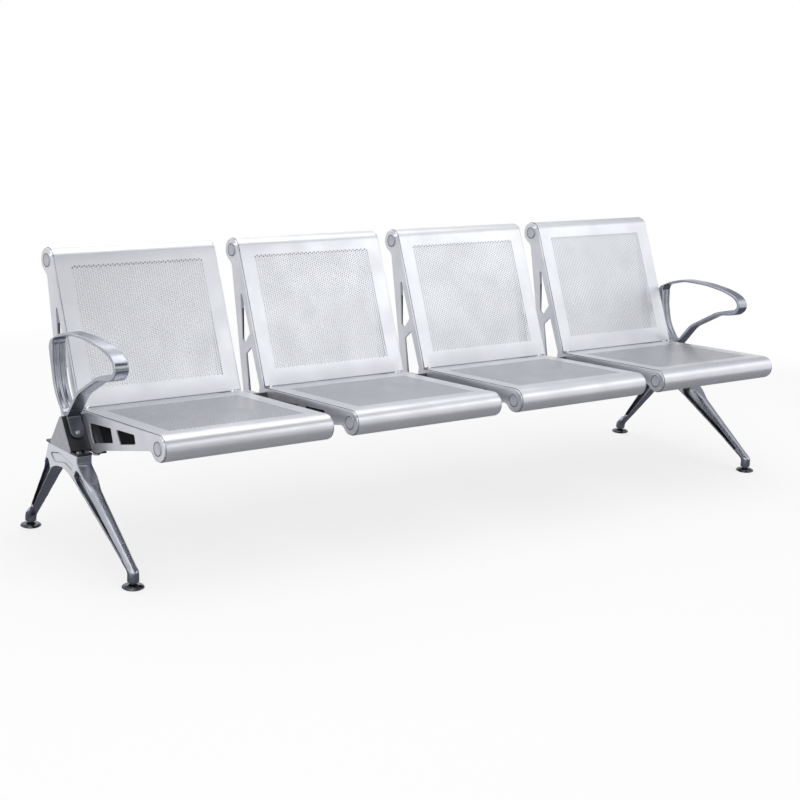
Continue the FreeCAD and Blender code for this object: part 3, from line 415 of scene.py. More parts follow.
def lathe(name: str, outline: list[Pair], sides: int, centre: Vector, axis: Vector) -> Mesh:
    """Turn an outline about an axis. An outline that starts and ends on the axis is closed there.

    Args:
        name: The mesh's name.
        outline: Radius and height of each point in millimetres, bottom to top along the outside.
        sides: Steps round the axis.
        centre: Where height 0 stands.
        axis: Which way height grows.

    Returns:
        The closed mesh.
    """
    turn = Vector((0, 0, 1)).rotation_difference(axis).to_matrix().to_4x4()
    shape = bmesh.new()
    rings = []
    for radius, height in outline:
        count = sides if radius > 0 else 1
        rings.append([shape.verts.new((radius * MM * math.cos(2 * math.pi * k / sides),
                                       radius * MM * math.sin(2 * math.pi * k / sides),
                                       height * MM)) for k in range(count)])
    loops = list(zip(rings, rings[1:]))
    if outline[0][0] > 0:
        loops.append((rings[-1], rings[0]))
    for low, high in loops:
        for k in range(sides):
            after = (k + 1) % sides
            corners = [low[k % len(low)], low[after % len(low)], high[after % len(high)],
                       high[k % len(high)]]
            shape.faces.new(list(dict.fromkeys(corners)))
    bmesh.ops.transform(shape, matrix=Matrix.Translation(centre) @ turn, verts=shape.verts)
    bmesh.ops.recalc_face_normals(shape, faces=shape.faces)
    mesh = settled(shape, name)
    soften(mesh, 38)
    return mesh


class Side(Enum):
    """Which of a seat's two sheets is meant."""

    SEAT = "seat_pan"
    BACK = "back_panel"


@dataclass
class Perforation:
    """The field of round holes in a sheet, in columns that step by half a pitch.

    Attributes:
        columns: Holes across.
        rows: Holes along.
        pitch_mm: Hole to hole, both ways.
        hole_mm: Diameter of a hole.
        sides: Corners of a hole.
    """

    columns: int
    rows: int
    pitch_mm: float = 7.2
    hole_mm: float = 3.8
    sides: int = 8

    def across_mm(self) -> float:
        """Width of the field."""
        return self.columns * self.pitch_mm

    def along_mm(self) -> float:
        """Length of the field, with the half pitch by which the columns step."""
        return (self.rows + 0.5) * self.pitch_mm

    def tree(self) -> Tree:
        """Build the node tree that fills a sheet's window with perforated plate.

        Returns:
            A tree with inputs for the counts, pitch, hole, place, lean and coat.
        """
        tree = bpy.data.node_groups.get("Perforated field")
        if tree:
            return tree
        tree = bpy.data.node_groups.new("Perforated field", "GeometryNodeTree")
        for label, kind in (("Sheet", "Geometry"), ("Columns", "Int"), ("Rows", "Int"),
                            ("Pitch", "Float"), ("Hole", "Float"), ("Middle", "Vector"),
                            ("Lean", "Float"), ("Coat", "Material")):
            tree.interface.new_socket(label, in_out="INPUT", socket_type="NodeSocket" + kind)
        tree.interface.new_socket("Sheet", in_out="OUTPUT", socket_type="NodeSocketGeometry")
        given = add(tree, "NodeGroupInput").outputs
        columns, rows, pitch = given["Columns"], given["Rows"], given["Pitch"]
        do = partial(maths, tree)
        half = do("MULTIPLY", pitch, 0.5)
        tile = self.tile(tree, given["Hole"], half)
        width = do("MULTIPLY", do("SUBTRACT", columns, 1.0), pitch)
        left = do("MULTIPLY", width, -0.5)
        height = do("MULTIPLY", rows, pitch)
        lattice = add(tree, "GeometryNodeMeshGrid",
                      {"Size X": width, "Size Y": do("SUBTRACT", height, pitch),
                       "Vertices X": columns, "Vertices Y": rows})
        spot = add(tree, "GeometryNodeInputPosition").outputs[0]
        from_left = do("SUBTRACT", add(tree, "ShaderNodeSeparateXYZ", {0: spot}).outputs["X"], left)
        odd = do("MODULO", do("ROUND", do("DIVIDE", from_left, pitch)), 2.0)
        step = do("MULTIPLY", do("SUBTRACT", odd, 0.5), half)
        stepped = add(tree, "GeometryNodeSetPosition",
                      {"Geometry": lattice.outputs["Mesh"], "Offset": vector(tree, Y=step)})
        holes = add(tree, "GeometryNodeInstanceOnPoints",
                    {"Points": stepped.outputs[0], "Instance": tile})
        row = add(tree, "GeometryNodeMeshLine",
                  {"Count": columns, "Start Location": vector(tree, X=left),
                   "Offset": vector(tree, X=pitch)})
        odd_end = do("MODULO", add(tree, "GeometryNodeInputIndex").outputs[0], 2.0)
        end = do("MULTIPLY", do("SUBTRACT", 0.5, odd_end), height)
        ends = add(tree, "GeometryNodeSetPosition",
                   {"Geometry": row.outputs["Mesh"], "Offset": vector(tree, Y=end)})
        blank = add(tree, "GeometryNodeMeshGrid",
                    {"Size X": pitch, "Size Y": half, "Vertices X": 3, "Vertices Y": 2})
        blanks = add(tree, "GeometryNodeInstanceOnPoints",
                     {"Points": ends.outputs[0], "Instance": blank.outputs["Mesh"]})
        plate = self.joined(tree, blanks.outputs[0], holes.outputs[0])
        lean = add(tree, "FunctionNodeEulerToRotation", {0: vector(tree, X=given["Lean"])})
        placed = add(tree, "GeometryNodeTransform",
                     {"Geometry": plate, "Translation": given["Middle"],
                      "Rotation": lean.outputs[0]})
        both = self.joined(tree, placed.outputs[0], given["Sheet"])
        seam = add(tree, "GeometryNodeMergeByDistance", {"Geometry": both, "Distance": 0.02 * MM})
        final = add(tree, "GeometryNodeRealizeInstances", {0: seam.outputs[0]})
        coated = add(tree, "GeometryNodeSetMaterial",
                     {"Geometry": final.outputs[0], "Material": given["Coat"]})
        add(tree, "NodeGroupOutput", {0: coated.outputs[0]})
        return tree

    def joined(self, tree: Tree, *parts: Socket) -> Socket:
        """Join geometries and make their instances real.

        Args:
            tree: The tree to add to.
            parts: The geometries.

        Returns:
            The joined geometry.
        """
        join = add(tree, "GeometryNodeJoinGeometry")
        for part in parts:
            tree.links.new(part, join.inputs[0])
        return add(tree, "GeometryNodeRealizeInstances", {0: join.outputs[0]}).outputs[0]

    def tile(self, tree: Tree, hole: Socket, half: Socket) -> Socket:
        """Add the nodes for one square of plate with its hole.

        Args:
            tree: The tree to add to.
            hole: Diameter of the hole.
            half: Half the square's side.

        Returns:
            The square's geometry, with the share "cut" that is 1 at the hole and 0 at the side,
            which places the painted shade round the hole.
        """
        radius = maths(tree, "MULTIPLY", hole, 0.5)
        ring = add(tree, "GeometryNodeMeshCircle", {"Vertices": self.sides, "Radius": radius},
                   fill_type="NONE")
        wide = add(tree, "GeometryNodeExtrudeMesh", {"Mesh": ring.outputs[0], "Offset Scale": 0.0},
                   mode="EDGES")
        spot = add(tree, "GeometryNodeInputPosition").outputs[0]
        size = add(tree, "ShaderNodeVectorMath", {0: spot}, operation="ABSOLUTE").outputs[0]
        parts = add(tree, "ShaderNodeSeparateXYZ", {0: size}).outputs
        grow = maths(tree, "DIVIDE", half, maths(tree, "MAXIMUM", parts["X"], parts["Y"]))
        square = add(tree, "ShaderNodeVectorMath", {0: spot, "Scale": grow}, operation="SCALE")
        out = add(tree, "GeometryNodeSetPosition",
                  {"Geometry": wide.outputs["Mesh"], "Selection": wide.outputs["Top"],
                   "Position": square.outputs[0]})
        rim = maths(tree, "SUBTRACT", 1.0, wide.outputs["Top"])
        return add(tree, "GeometryNodeStoreNamedAttribute",
                   {"Geometry": out.outputs[0], "Name": "cut", "Value": rim},
                   data_type="FLOAT", domain="POINT").outputs[0]

    def fill(self, piece: Piece, middle: Vector, lean: float, finish: Finish,
             wall_mm: float) -> None:
        """Fill a sheet's window, give the sheet its thickness and make the result its plain mesh.

        Args:
            piece: The sheet, with its window open.
            middle: The window's middle.
            lean: Turn of the field about the bench's long axis.
            finish: The sheet's finish.
            wall_mm: Thickness of the sheet.
        """
        values = {"Columns": self.columns, "Rows": self.rows, "Pitch": self.pitch_mm * MM,
                  "Hole": self.hole_mm * MM, "Middle": tuple(middle), "Lean": lean,
                  "Coat": finish.material()}
        punch = piece.modifiers.new("Punch", "NODES")
        punch.node_group = self.tree()
        for item in punch.node_group.interface.items_tree:
            if item.in_out == "INPUT" and item.name in values:
                punch[item.identifier] = values[item.name]
        wall = piece.modifiers.new("Wall", "SOLIDIFY")
        wall.thickness = wall_mm * MM
        wall.offset = -1
        bake(piece)
        # Solidify puts the inner points after the outer ones; a face with both is a cut edge
        inner = len(piece.data.vertices) // 2
        rims = [int(min(face.vertices) < inner <= max(face.vertices))
                for face in piece.data.polygons]
        # Hole walls and cut edges take the painted shade
        coat(piece.data, finish, EDGE_SHADE)
        piece.data.polygons.foreach_set("material_index", rims)
        soften(piece.data, 50)


@dataclass
class Sheet:
    """One bent and perforated steel sheet: a lip at the hip, a flat field, a roll at its far end.

    Attributes:
        side: Seat or back.
        holes: Its field of holes.
        reach_mm: Hip line to the middle of the roll.
        field_mm: Hip line to the field's near edge.
        tilt: Rise of the seat towards its front, or lean of the back, in degrees.
        width_mm: From one frame's outer face to the other's.
        inset_mm: How far the sheet stays behind those faces.
        lip_inset_mm: The same for the lip, which is notched beside the frames.
        wall_mm: Thickness of the sheet.
        roll_mm: Radius of the roll, which turns by sweep degrees in so many steps.
        seam_mm: Hip line to the lip.
        lip_mm: Depth of the lip.
        bend_mm: Radius of the bend into the lip, which has bend_steps facets.
    """

    side: Side
    holes: Perforation
    reach_mm: float
    field_mm: float
    tilt: float
    width_mm: float = 509.0
    inset_mm: float = 5.0
    lip_inset_mm: float = 32.0
    wall_mm: float = 1.5
    roll_mm: float = 35.0
    sweep: float = 215.0
    steps: int = 26
    seam_mm: float = 1.0
    lip_mm: float = 11.0
    bend_mm: float = 3.0
    bend_steps: int = 3

    def direction(self) -> tuple[Vector, Vector]:
        """Lay down the sheet's slope.

        Returns:
            Which way it runs from the hip line, and which way its face looks.
        """
        angle = math.radians(self.tilt)
        sine, cosine = math.sin(angle), math.cos(angle)
        if self.side is Side.SEAT:
            return Vector((0, -cosine, sine)), Vector((0, sine, cosine))
        return Vector((0, sine, cosine)), Vector((0, -cosine, sine))

    def profile(self) -> tuple[list[Pair], int, int, int]:
        """Draw the sheet's outer line from the lip to the end of the roll.

        Returns:
            Distance along and above for each point, and the numbers of the points where the bend
            ends, the field starts and the field ends.
        """
        line = [(self.seam_mm, -self.lip_mm)]
        for k in range(self.bend_steps + 1):
            angle = math.radians(90 * k / self.bend_steps)
            line.append((self.seam_mm + self.bend_mm * (1 - math.cos(angle)),
                         self.bend_mm * (math.sin(angle) - 1)))
        first = len(line)
        half = self.holes.pitch_mm / 2
        count = 2 * self.holes.rows + 1
        line += [(self.field_mm + half * k, 0.0) for k in range(count + 1)]
        for k in range(self.steps + 1):
            angle = math.radians(self.sweep * k / self.steps)
            line.append((self.reach_mm + self.roll_mm * math.sin(angle),
                         self.roll_mm * (math.cos(angle) - 1)))
        return line, first - 1, first, first + count

    def columns(self) -> tuple[list[float], int, int]:
        """Divide the sheet across.

        Returns:
            The distances from the seat's left side, and the numbers of the field's first and last.
        """
        half = self.holes.pitch_mm / 2
        start = (self.width_mm - self.holes.across_mm()) / 2
        edge = [self.inset_mm, self.lip_inset_mm]
        inner = [start + half * k for k in range(2 * self.holes.columns + 1)]
        outer = [self.width_mm - e for e in reversed(edge)]
        return edge + inner + outer, len(edge), len(edge) + 2 * self.holes.columns

    def blank(self, hip: Vector) -> Mesh:
        """Bend the sheet before it is punched, with its window open.

        Args:
            hip: The seat's left end of the hip line.

        Returns:
            The open mesh, its faces looking outwards.
        """
        line, flat, low, high = self.profile()
        across, left, right = self.columns()
        along, out = self.direction()
        points = [hip + Vector((x * MM, 0, 0)) + along * (a * MM) + out * (b * MM)
                  for x in across for a, b in line]
        rows = len(line)
        faces = []
        for i in range(len(across) - 1):
            for j in range(rows - 1):
                window = left <= i < right and low <= j < high
                notch = (i == 0 or i == len(across) - 2) and j < flat
                if not window and not notch:
                    corner = i * rows + j
                    quad = (corner, corner + rows, corner + rows + 1, corner + 1)
                    faces.append(quad if self.side is Side.BACK else quad[::-1])
        mesh = bpy.data.meshes.new(self.side.value)
        mesh.from_pydata(points, [], faces)
        shape = bmesh.new()
        shape.from_mesh(mesh)
        loose = [vert for vert in shape.verts if not vert.link_faces]
        bmesh.ops.delete(shape, geom=loose, context="VERTS")
        return settled(shape, self.side.value)

    def build(self, hip: Vector, lefts: list[float]) -> None:
        """Build the sheet once and set a copy in each seat.

        Args:
            hip: A point of the hip line.
            lefts: The left side of each seat.
        """
        along = self.direction()[0]
        start = Vector((lefts[0], hip.y, hip.z))
        first = solid(self.side.value + "_plate_1", self.blank(start))
        middle_mm = self.field_mm + self.holes.along_mm() / 2
        middle = start + Vector((self.width_mm * MM / 2, 0, 0)) + along * (middle_mm * MM)
        lean = math.radians(90 - self.tilt if self.side is Side.BACK else -self.tilt)
        self.holes.fill(first, middle, lean, SHEET_COAT, self.wall_mm)
        for seat, left in zip(SEATS, lefts):
            piece = first
            if seat > 1:
                mesh = first.data.copy()
                mesh.transform(Matrix.Translation((left - lefts[0], 0, 0)))
                piece = solid("%s_plate_%d" % (self.side.value, seat), mesh)
            fit(piece, "bench", "coated_sheet", "%s_%d" % (self.side.value, seat))


@dataclass
class Frames:
    """The cast side frames with the plugs in their heads.

    Attributes:
        seat: The seat sheet, which the lower arm follows.
        back: The back sheet, which the upper arm follows.
        hip: A point of the hip line.
        plug_mm: Diameter of a plug, which has so many sides and stands out by proud_mm.
        groove_mm: Outer and inner end of the groove in its face, from its rim.
        web_mm: Thickness of the web round the windows.
        past_mm: A depth past the frame's inner face; from inner_mm on a face is on that side and
            gets painted shade.
        saddle_mm: How far the painted shade on the saddle reaches past the beam; above_mm is that
            past the hip line.
        seat_pocket: Corners of the lower hollow, along the seat and behind its face.
        back_pocket: The same of the upper hollow, along the back.
    """

    seat: Sheet
    back: Sheet
    hip: Vector
    plug_mm: float = 39.0
    proud_mm: float = 2.0
    groove_mm: Pair = (1.0, 2.9)
    sides: int = 40
    web_mm: float = 4.0
    past_mm: float = 11.0
    inner_mm: float = 6.5
    saddle_mm: float = 40.0
    above_mm: float = 20.0
    seat_pocket: tuple[Pair, ...] = ((51, -24), (69, -84), (190, -68), (228, -66), (316, -51),
                                     (308, -14), (60, -16))
    back_pocket: tuple[Pair, ...] = ((316, -19), (158, -72), (112, -69), (6, -88), (-12, -40),
                                     (-10, -24), (8, -16))

    def pocket(self, outline: tuple[Pair, ...], sheet: Sheet, start: float, end: float) -> Piece:
        """Make the body that hollows a frame's inner face round its windows; its faces give the
        hollow painted shade.

        Args:
            outline: Distance along the sheet and behind its face for each corner.
            sheet: The sheet that gives the directions.
            start: Place across where it begins.
            end: Place across where it ends.

        Returns:
            The cutting body.
        """
        along, out = sheet.direction()
        corners = [self.hip + along * (a * MM) + out * (b * MM) for a, b in outline]
        count = len(corners)
        points = [(x, c.y, c.z) for x in (start, end) for c in corners]
        faces = [tuple(range(count)), tuple(range(2 * count - 1, count - 1, -1))]
        faces += [(k, k + count, (k + 1) % count + count, (k + 1) % count) for k in range(count)]
        rough = bpy.data.meshes.new("pocket")
        rough.from_pydata(points, [], faces)
        shape = bmesh.new()
        shape.from_mesh(rough)
        bmesh.ops.recalc_face_normals(shape, faces=shape.faces)
        mesh = settled(shape, "pocket")
        # The hollow's cut faces take the painted shade
        coat(mesh, CAST_COAT, SHADED_INSIDE)
        mesh.polygons.foreach_set("material_index", [1] * len(faces))
        return solid("pocket", mesh)

    def hollow(self, node: str, inward: int) -> None:
        """Thin a frame's web round its windows from the inner side, as it is cast, and paint the
        hollows and the saddle's inner side dark as shade.

        Args:
            node: The frame's CAD node.
            inward: 1 where the seat lies to its right, otherwise -1.
        """
        low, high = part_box(node)
        outer = low.x if inward > 0 else high.x
        mesh = settled(welded(node), node)
        coat(mesh, CAST_COAT, SHADED_INSIDE)
        piece = solid(node + "_cast", mesh)
        start, end = (outer + inward * depth * MM for depth in (self.web_mm, self.past_mm))
        cutters = [self.pocket(self.seat_pocket, self.seat, start, end),
                   self.pocket(self.back_pocket, self.back, start, end)]
        for cutter in cutters:
            cut = piece.modifiers.new("Pocket", "BOOLEAN")
            cut.object = cutter
            cut.solver = "EXACT"
        bake(piece)
        for cutter in cutters:
            bpy.data.objects.remove(cutter)
        beam_low, beam_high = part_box("beam")
        reach = self.saddle_mm * MM
        # Faces on the inner side beside the beam get painted shade
        for face in piece.data.polygons:
            spot = face.center
            beside = beam_low.y - reach < spot.y < beam_high.y + reach
            below = spot.z < self.hip.z + self.above_mm * MM
            if beside and below and (spot.x - outer) * inward > self.inner_mm * MM:
                face.material_index = 1
        soften(piece.data, 32)
        piece.modifiers.new("Even", "WEIGHTED_NORMAL").keep_sharp = True
        bake(piece)
        fit(piece, "bench", "coated_casting", node)

    def plug_outline(self) -> list[Pair]:
        """Draw a plug: a rounded rim, a groove and a shallow dish.

        Returns:
            Radius and height of each point.
        """
        rim = self.plug_mm / 2
        top = self.proud_mm
        return [(0, 0.05), (rim, 0.05), (rim, top - 0.5), (rim - 0.4, top - 0.1),
                (rim - 1.0, top - 0.1), (rim - 1.2, 0.4), (rim - 2.6, 0.4), (rim - 2.9, top - 0.3),
                (rim - 3.4, top), (rim - 4.2, top), (rim - 5.6, top - 0.7), (0, top - 1.0)]

    def build(self) -> None:
        """Hollow the frames and set a plug on each place where the CAD has one."""
        for seat in SEATS:
            for hand in HANDS:
                self.hollow("side_frame_%s_%d" % (hand, seat), 1 if hand == "left" else -1)
        shape = bmesh.new()
        middles = []
        for low, high in islands("head_caps"):
            middle = (low + high) / 2
            middles.append(middle)
            seat_middle = min((self.seat_middle(k) for k in SEATS), key=lambda x: abs(x - middle.x))
            facing = 1 if middle.x > seat_middle else -1
            foot = Vector((low.x if facing > 0 else high.x, middle.y, middle.z))
            mesh = lathe("plug", self.plug_outline(), self.sides, foot, Vector((facing, 0, 0)))
            shape.from_mesh(mesh)
            bpy.data.meshes.remove(mesh)
        plugs = settled(shape, "head_plugs")
        plugs.set_sharp_from_angle(angle=math.radians(50))
        # The plugs' grooves take the painted shade
        coat(plugs, SILVER_PLASTIC, EDGE_SHADE)
        for face in plugs.polygons:
            face.material_index = self.in_groove(face, middles)
        fit(solid("head_plugs", plugs), "bench", "silver_plastic", "head_caps")

    def in_groove(self, face: bpy.types.MeshPolygon, middles: list[Vector]) -> int:
        """Find the groove round a plug's dish, which is painted dark as shade.

        Args:
            face: A face of the plugs.
            middles: The middle of each plug.

        Returns:
            1 if the face lies in the groove, otherwise 0.
        """
        near = min(middles, key=lambda middle: (middle - face.center).length)
        radius = math.hypot(face.center.y - near.y, face.center.z - near.z) / MM
        return int(self.groove_mm[0] < self.plug_mm / 2 - radius < self.groove_mm[1])

    def seat_middle(self, seat: int) -> float:
        """Middle of a seat, from its two frames."""
        left, right = (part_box("side_frame_%s_%d" % (hand, seat)) for hand in HANDS)
        return (left[0].x + right[1].x) / 2


def islands(node: str) -> list[tuple[Vector, Vector]]:
    """Find the separate solids of a CAD node.

    Args:
        node: The node's name.

    Returns:
        The lowest and highest corner of each solid, from left to right.
    """
    shape = welded(node)
    found, seen = [], set()
    for start in shape.verts:
        if start in seen:
            continue
        group, queue = [], [start]
        seen.add(start)
        while queue:
            spot = queue.pop()
            group.append(spot.co.copy())
            for edge in spot.link_edges:
                other = edge.other_vert(spot)
                if other not in seen:
                    seen.add(other)
                    queue.append(other)
        found.append(tuple(Vector([end(p[axis] for p in group) for axis in range(3)])
                           for end in (min, max)))
    shape.free()
    return sorted(found, key=lambda pair: tuple(pair[0]))


@dataclass
class Glide:
    """A foot of the bench: a chrome dome over a rubber pad, turned in and out on its spindle.

    Attributes:
        place: Which foot it is.
        sides: Steps round it; arch_steps go from its rim up to its neck.
        bore_mm: Radius of the hole for the spindle.
        neck_mm: Radius where the arch ends.
        swell: How full the arch is; 1 is an ellipse.
    """

    place: str
    sides: int = 56
    arch_steps: int = 10
    bore_mm: float = 5.6
    neck_mm: float = 10.5
    swell: float = 1.25

    def build(self) -> None:
        """Dress the pad and the spindle and replace the dome by a smooth one."""
        dress("foot_pad_" + self.place, RUBBER)
        dress("foot_spindle_" + self.place, ZINC)
        node = "foot_dome_" + self.place
        low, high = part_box(node)
        rim = (high.x - low.x) / 2 / MM
        top = (high.z - low.z) / MM
        under = [(self.bore_mm, top - 1.2), (rim - 3.2, 0.4)]
        lip = [(rim - 0.5, 0.0), (rim, 0.5), (rim, 1.3), (rim - 0.6, 2.0)]
        arch = []
        for k in range(1, self.arch_steps + 1):
            angle = math.radians(90 * k / self.arch_steps)
            arch.append((self.neck_mm + (rim - 0.6 - self.neck_mm) * math.cos(angle) ** self.swell,
                         2.0 + (top - 3.4) * math.sin(angle)))
        neck = [(9.6, top - 0.9), (8.8, top - 0.3), (7.8, top), (self.bore_mm, top)]
        foot = Vector(((low.x + high.x) / 2, (low.y + high.y) / 2, low.z))
        mesh = lathe("glide_" + self.place, under + lip + arch + neck, self.sides, foot,
                     Vector((0, 0, 1)))
        coat(mesh, CHROME)
        fit(solid("glide_" + self.place, mesh), "foot_" + self.place, "chrome", node)


def ramp(value: np.ndarray, start: float, end: float) -> np.ndarray:
    """Rise from 0 at start to 1 at end, and stay there on both sides."""
    return np.clip((value - start) / (end - start), 0, 1)


@dataclass
class Casting:
    """A casting with its edges rounded, as they leave the mould and the polishing wheel.

    Attributes:
        node: The CAD node it stands for.
        grid_mm: Size of the mesh's faces.
        passes: How often each point is drawn towards its neighbours.
    """

    node: str
    grid_mm: float
    passes: int

    def even(self) -> Piece:
        """Give a copy of the CAD solid an even mesh.

        Returns:
            The new piece.
        """
        piece = solid(self.node + "_cast", settled(welded(self.node), self.node))
        skin = piece.modifiers.new("Skin", "REMESH")
        skin.mode = "VOXEL"
        skin.voxel_size = self.grid_mm * MM
        bake(piece)
        return piece

    def relax(self, mesh: Mesh, spots: np.ndarray, passes: int,
              share: np.ndarray | float) -> np.ndarray:
        """Draw points towards the middle of their neighbours.

        Args:
            mesh: The mesh, for its edges.
            spots: The points.
            passes: How often.
            share: How far each point goes, from 0 to 1.

        Returns:
            The moved points.
        """
        ends = np.empty(len(mesh.edges) * 2, np.int64)
        mesh.edges.foreach_get("vertices", ends)
        one, other = ends.reshape(-1, 2).T
        count = np.bincount(ends, minlength=len(spots))[:, None]
        for _ in range(passes):
            total = np.stack([np.bincount(one, spots[other, axis], len(spots))
                              + np.bincount(other, spots[one, axis], len(spots))
                              for axis in range(3)], axis=1)
            spots = spots + share * (total / count - spots)
        return spots

    def snap(self, spots: np.ndarray, share: np.ndarray) -> np.ndarray:
        """Bring points back to the CAD's own surface.

        Args:
            spots: The points.
            share: How far each point goes, from 0 to 1.

        Returns:
            The moved points.
        """
        moved = spots.copy()
        cad = bmesh.new()
        cad.from_mesh(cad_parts[self.node].data)
        skin = BVHTree.FromBMesh(cad)
        for at in np.flatnonzero(share > 0):
            there = skin.find_nearest(Vector(spots[at]))[0]
            moved[at] += share[at] * (np.array(there) - spots[at])
        cad.free()
        return moved

    def middle(self) -> tuple[float, float]:
        """Give the casting's middle across the bench and half its width."""
        low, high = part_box(self.node)
        return (low.x + high.x) / 2, (high.x - low.x) / 2

    def mould(self, spots: np.ndarray) -> np.ndarray:
        """Change the points before the edges are rounded; a plain casting keeps them."""
        return spots

    def fine(self, mesh: Mesh, spots: np.ndarray) -> np.ndarray:
        """Work over the rounded casting; a plain one keeps its points."""
        return spots

    def shares(self, spots: np.ndarray, facing: np.ndarray) -> dict[str, np.ndarray]:
        """Name shares and give them a value at each point; a plain casting has none."""
        return {}

    def build(self) -> None:
        """Round the casting and let it stand for its node."""
        piece = self.even()
        mesh = piece.data
        spots = np.empty(len(mesh.vertices) * 3)
        mesh.vertices.foreach_get("co", spots)
        spots = self.mould(spots.reshape(-1, 3))
        spots = self.fine(mesh, self.relax(mesh, spots, self.passes, 0.5))
        mesh.vertices.foreach_set("co", spots.ravel())
        mesh.update()
        mesh.shade_smooth()
        normals = np.empty(len(mesh.vertices) * 3)
        mesh.vertices.foreach_get("normal", normals)
        for name, share in self.shares(spots, np.abs(normals[::3])).items():
            values = mesh.attributes.new(name, "FLOAT", "POINT").data
            values.foreach_set("value", share.astype(np.float32))
        coat(mesh, POLISHED)
        fit(piece, "bench", "polished_casting", self.node)


@dataclass
class Leg(Casting):
    """A splayed leg: its limbs are crowned across and bend softly into the ankles.

    Attributes:
        crown: Share of a half section's depth by which a limb's sides fall back.
        crowned_mm: How far in from the outer line the crown reaches.
        half_mm: Half a limb's width at its foot end and at its top end.
        limb: Heights of those ends.
        hub: Heights between which the limbs' soft form gives way to the hub's crisp one.
        ankle: Heights of the ankle's bore, its foot end and its bend, and of the limb above.
        front: The front limb's outer line in the side view: its foot end from the foot's axis and
            its top end from the beam's middle, each with its height.
        rear: The same of the rear limb.
        badge_mm: How much deeper the badge panel lies than in the CAD.
        badge_depth_mm: Depths between which a point belongs to that panel.
        blend: Height over which one form or finish gives way to the next.
        soft_passes: How often the limbs, and then the ankles, are drawn smooth.
    """

    grid_mm: float = 1.7
    passes: int = 3
    crown: float = 0.62
    crowned_mm: float = 26.0
    half_mm: Pair = (14.0, 22.0)
    limb: Pair = (0.05, 0.25)
    hub: Pair = (0.205, 0.232)
    ankle: tuple[float, float, float, float] = (0.026, 0.036, 0.085, 0.1)
    front: tuple[Pair, Pair] = ((-2.5, 56.0), (-78.0, 257.5))
    rear: tuple[Pair, Pair] = ((7.0, 42.3), (104.0, 246.0))
    badge_mm: float = 1.2
    badge_depth_mm: Pair = (0.5, 2.2)
    blend: float = 0.02
    soft_passes: tuple[int, int] = (16, 22)

    def limbs(self) -> list[tuple[np.ndarray, np.ndarray, int]]:
        """Work out the outer line of each limb in the side view.

        Returns:
            For each limb a point of the line, its direction, and -1 or 1 for the way out.
        """
        beam_low, beam_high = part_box("beam")
        beam_y = (beam_low.y + beam_high.y) / 2
        found = []
        for end, out, (near, far) in (("front", -1, self.front), ("rear", 1, self.rear)):
            low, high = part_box("foot_dome_%s_%s" % (end, self.node.split("_")[1]))
            foot = np.array([(low.y + high.y) / 2 + near[0] * MM, near[1] * MM])
            top = np.array([beam_y + far[0] * MM, far[1] * MM])
            found.append((foot, (top - foot) / np.linalg.norm(top - foot), out))
        return found

    def mould(self, spots: np.ndarray) -> np.ndarray:
        """Cut the ankles' tops back to the limbs' outer lines and crown the limbs.

        Args:
            spots: The casting's points.

        Returns:
            The moved points.
        """
        foot_end, above = self.ankle[1], self.ankle[3]
        narrow, wide = self.half_mm
        moved = spots.copy()
        across, along, up = spots.T
        half = (narrow + (wide - narrow) * ramp(up, *self.limb)) * MM
        side = np.clip(np.abs(across - self.middle()[0]) / half, 0, 0.97)
        drop = self.crown * half * (1 - np.sqrt(1 - side ** 2))
        soft = ramp(up, *self.hub[::-1]) * ramp(up, foot_end, foot_end + self.blend)
        limbs = self.limbs()
        split = sum(foot[0] for foot, run, out in limbs) / 2
        for foot, run, out in limbs:
            away = np.array([-run[1], run[0]]) * -out
            ahead = (moved[:, 1:] - foot) @ away
            mine = ((along - split) * out > 0) & (up > foot_end)
            cut_back = np.clip(ahead, 0, None) * mine * (up < above)
            moved[:, 1:] -= cut_back[:, None] * away
            near = ramp(np.minimum(ahead, 0), -self.crowned_mm * MM, 0)
            moved[:, 1:] -= (drop * near * soft * mine)[:, None] * away
        return moved

    def fine(self, mesh: Mesh, spots: np.ndarray) -> np.ndarray:
        """Smooth the limbs and ankles, bring the hub back to its crisp faces, sink its badge panel.

        Args:
            mesh: The leg's mesh.
            spots: Its points.

        Returns:
            The points in their last place.
        """
        bore, _, bend, _ = self.ankle
        limb_passes, ankle_passes = self.soft_passes
        up = spots[:, 2]
        crisp = ramp(up, *self.hub)
        limbs = (1 - crisp) * ramp(up, bore, bore + 0.008)
        spots = self.relax(mesh, spots, limb_passes, 0.5 * limbs[:, None])
        up = spots[:, 2]
        ankles = ramp(up, bend, bend - self.blend) * ramp(up, 0.03, 0.04)
        spots = self.relax(mesh, spots, ankle_passes, 0.5 * ankles[:, None])
        spots = self.snap(spots, crisp)
        middle, half = self.middle()
        from_middle = spots[:, 0] - middle
        depth = (half - np.abs(from_middle)) / MM
        shallow, deep = self.badge_depth_mm
        sunk = (crisp == 1) * ramp(depth, shallow, shallow + 0.4) * (depth < deep)
        spots[:, 0] -= np.sign(from_middle) * sunk * self.badge_mm * MM
        return spots

    def shares(self, spots: np.ndarray, facing: np.ndarray) -> dict[str, np.ndarray]:
        """Tell where the leg gets a painted highlight: on the flat faces of its hub."""
        # The hub's faces that look along the bench are painted lighter, as a highlight
        up = ramp(spots[:, 2], self.hub[0] - self.blend, self.hub[0])
        return {"bright_flat": up * ramp(facing, 0.9, 0.98)}


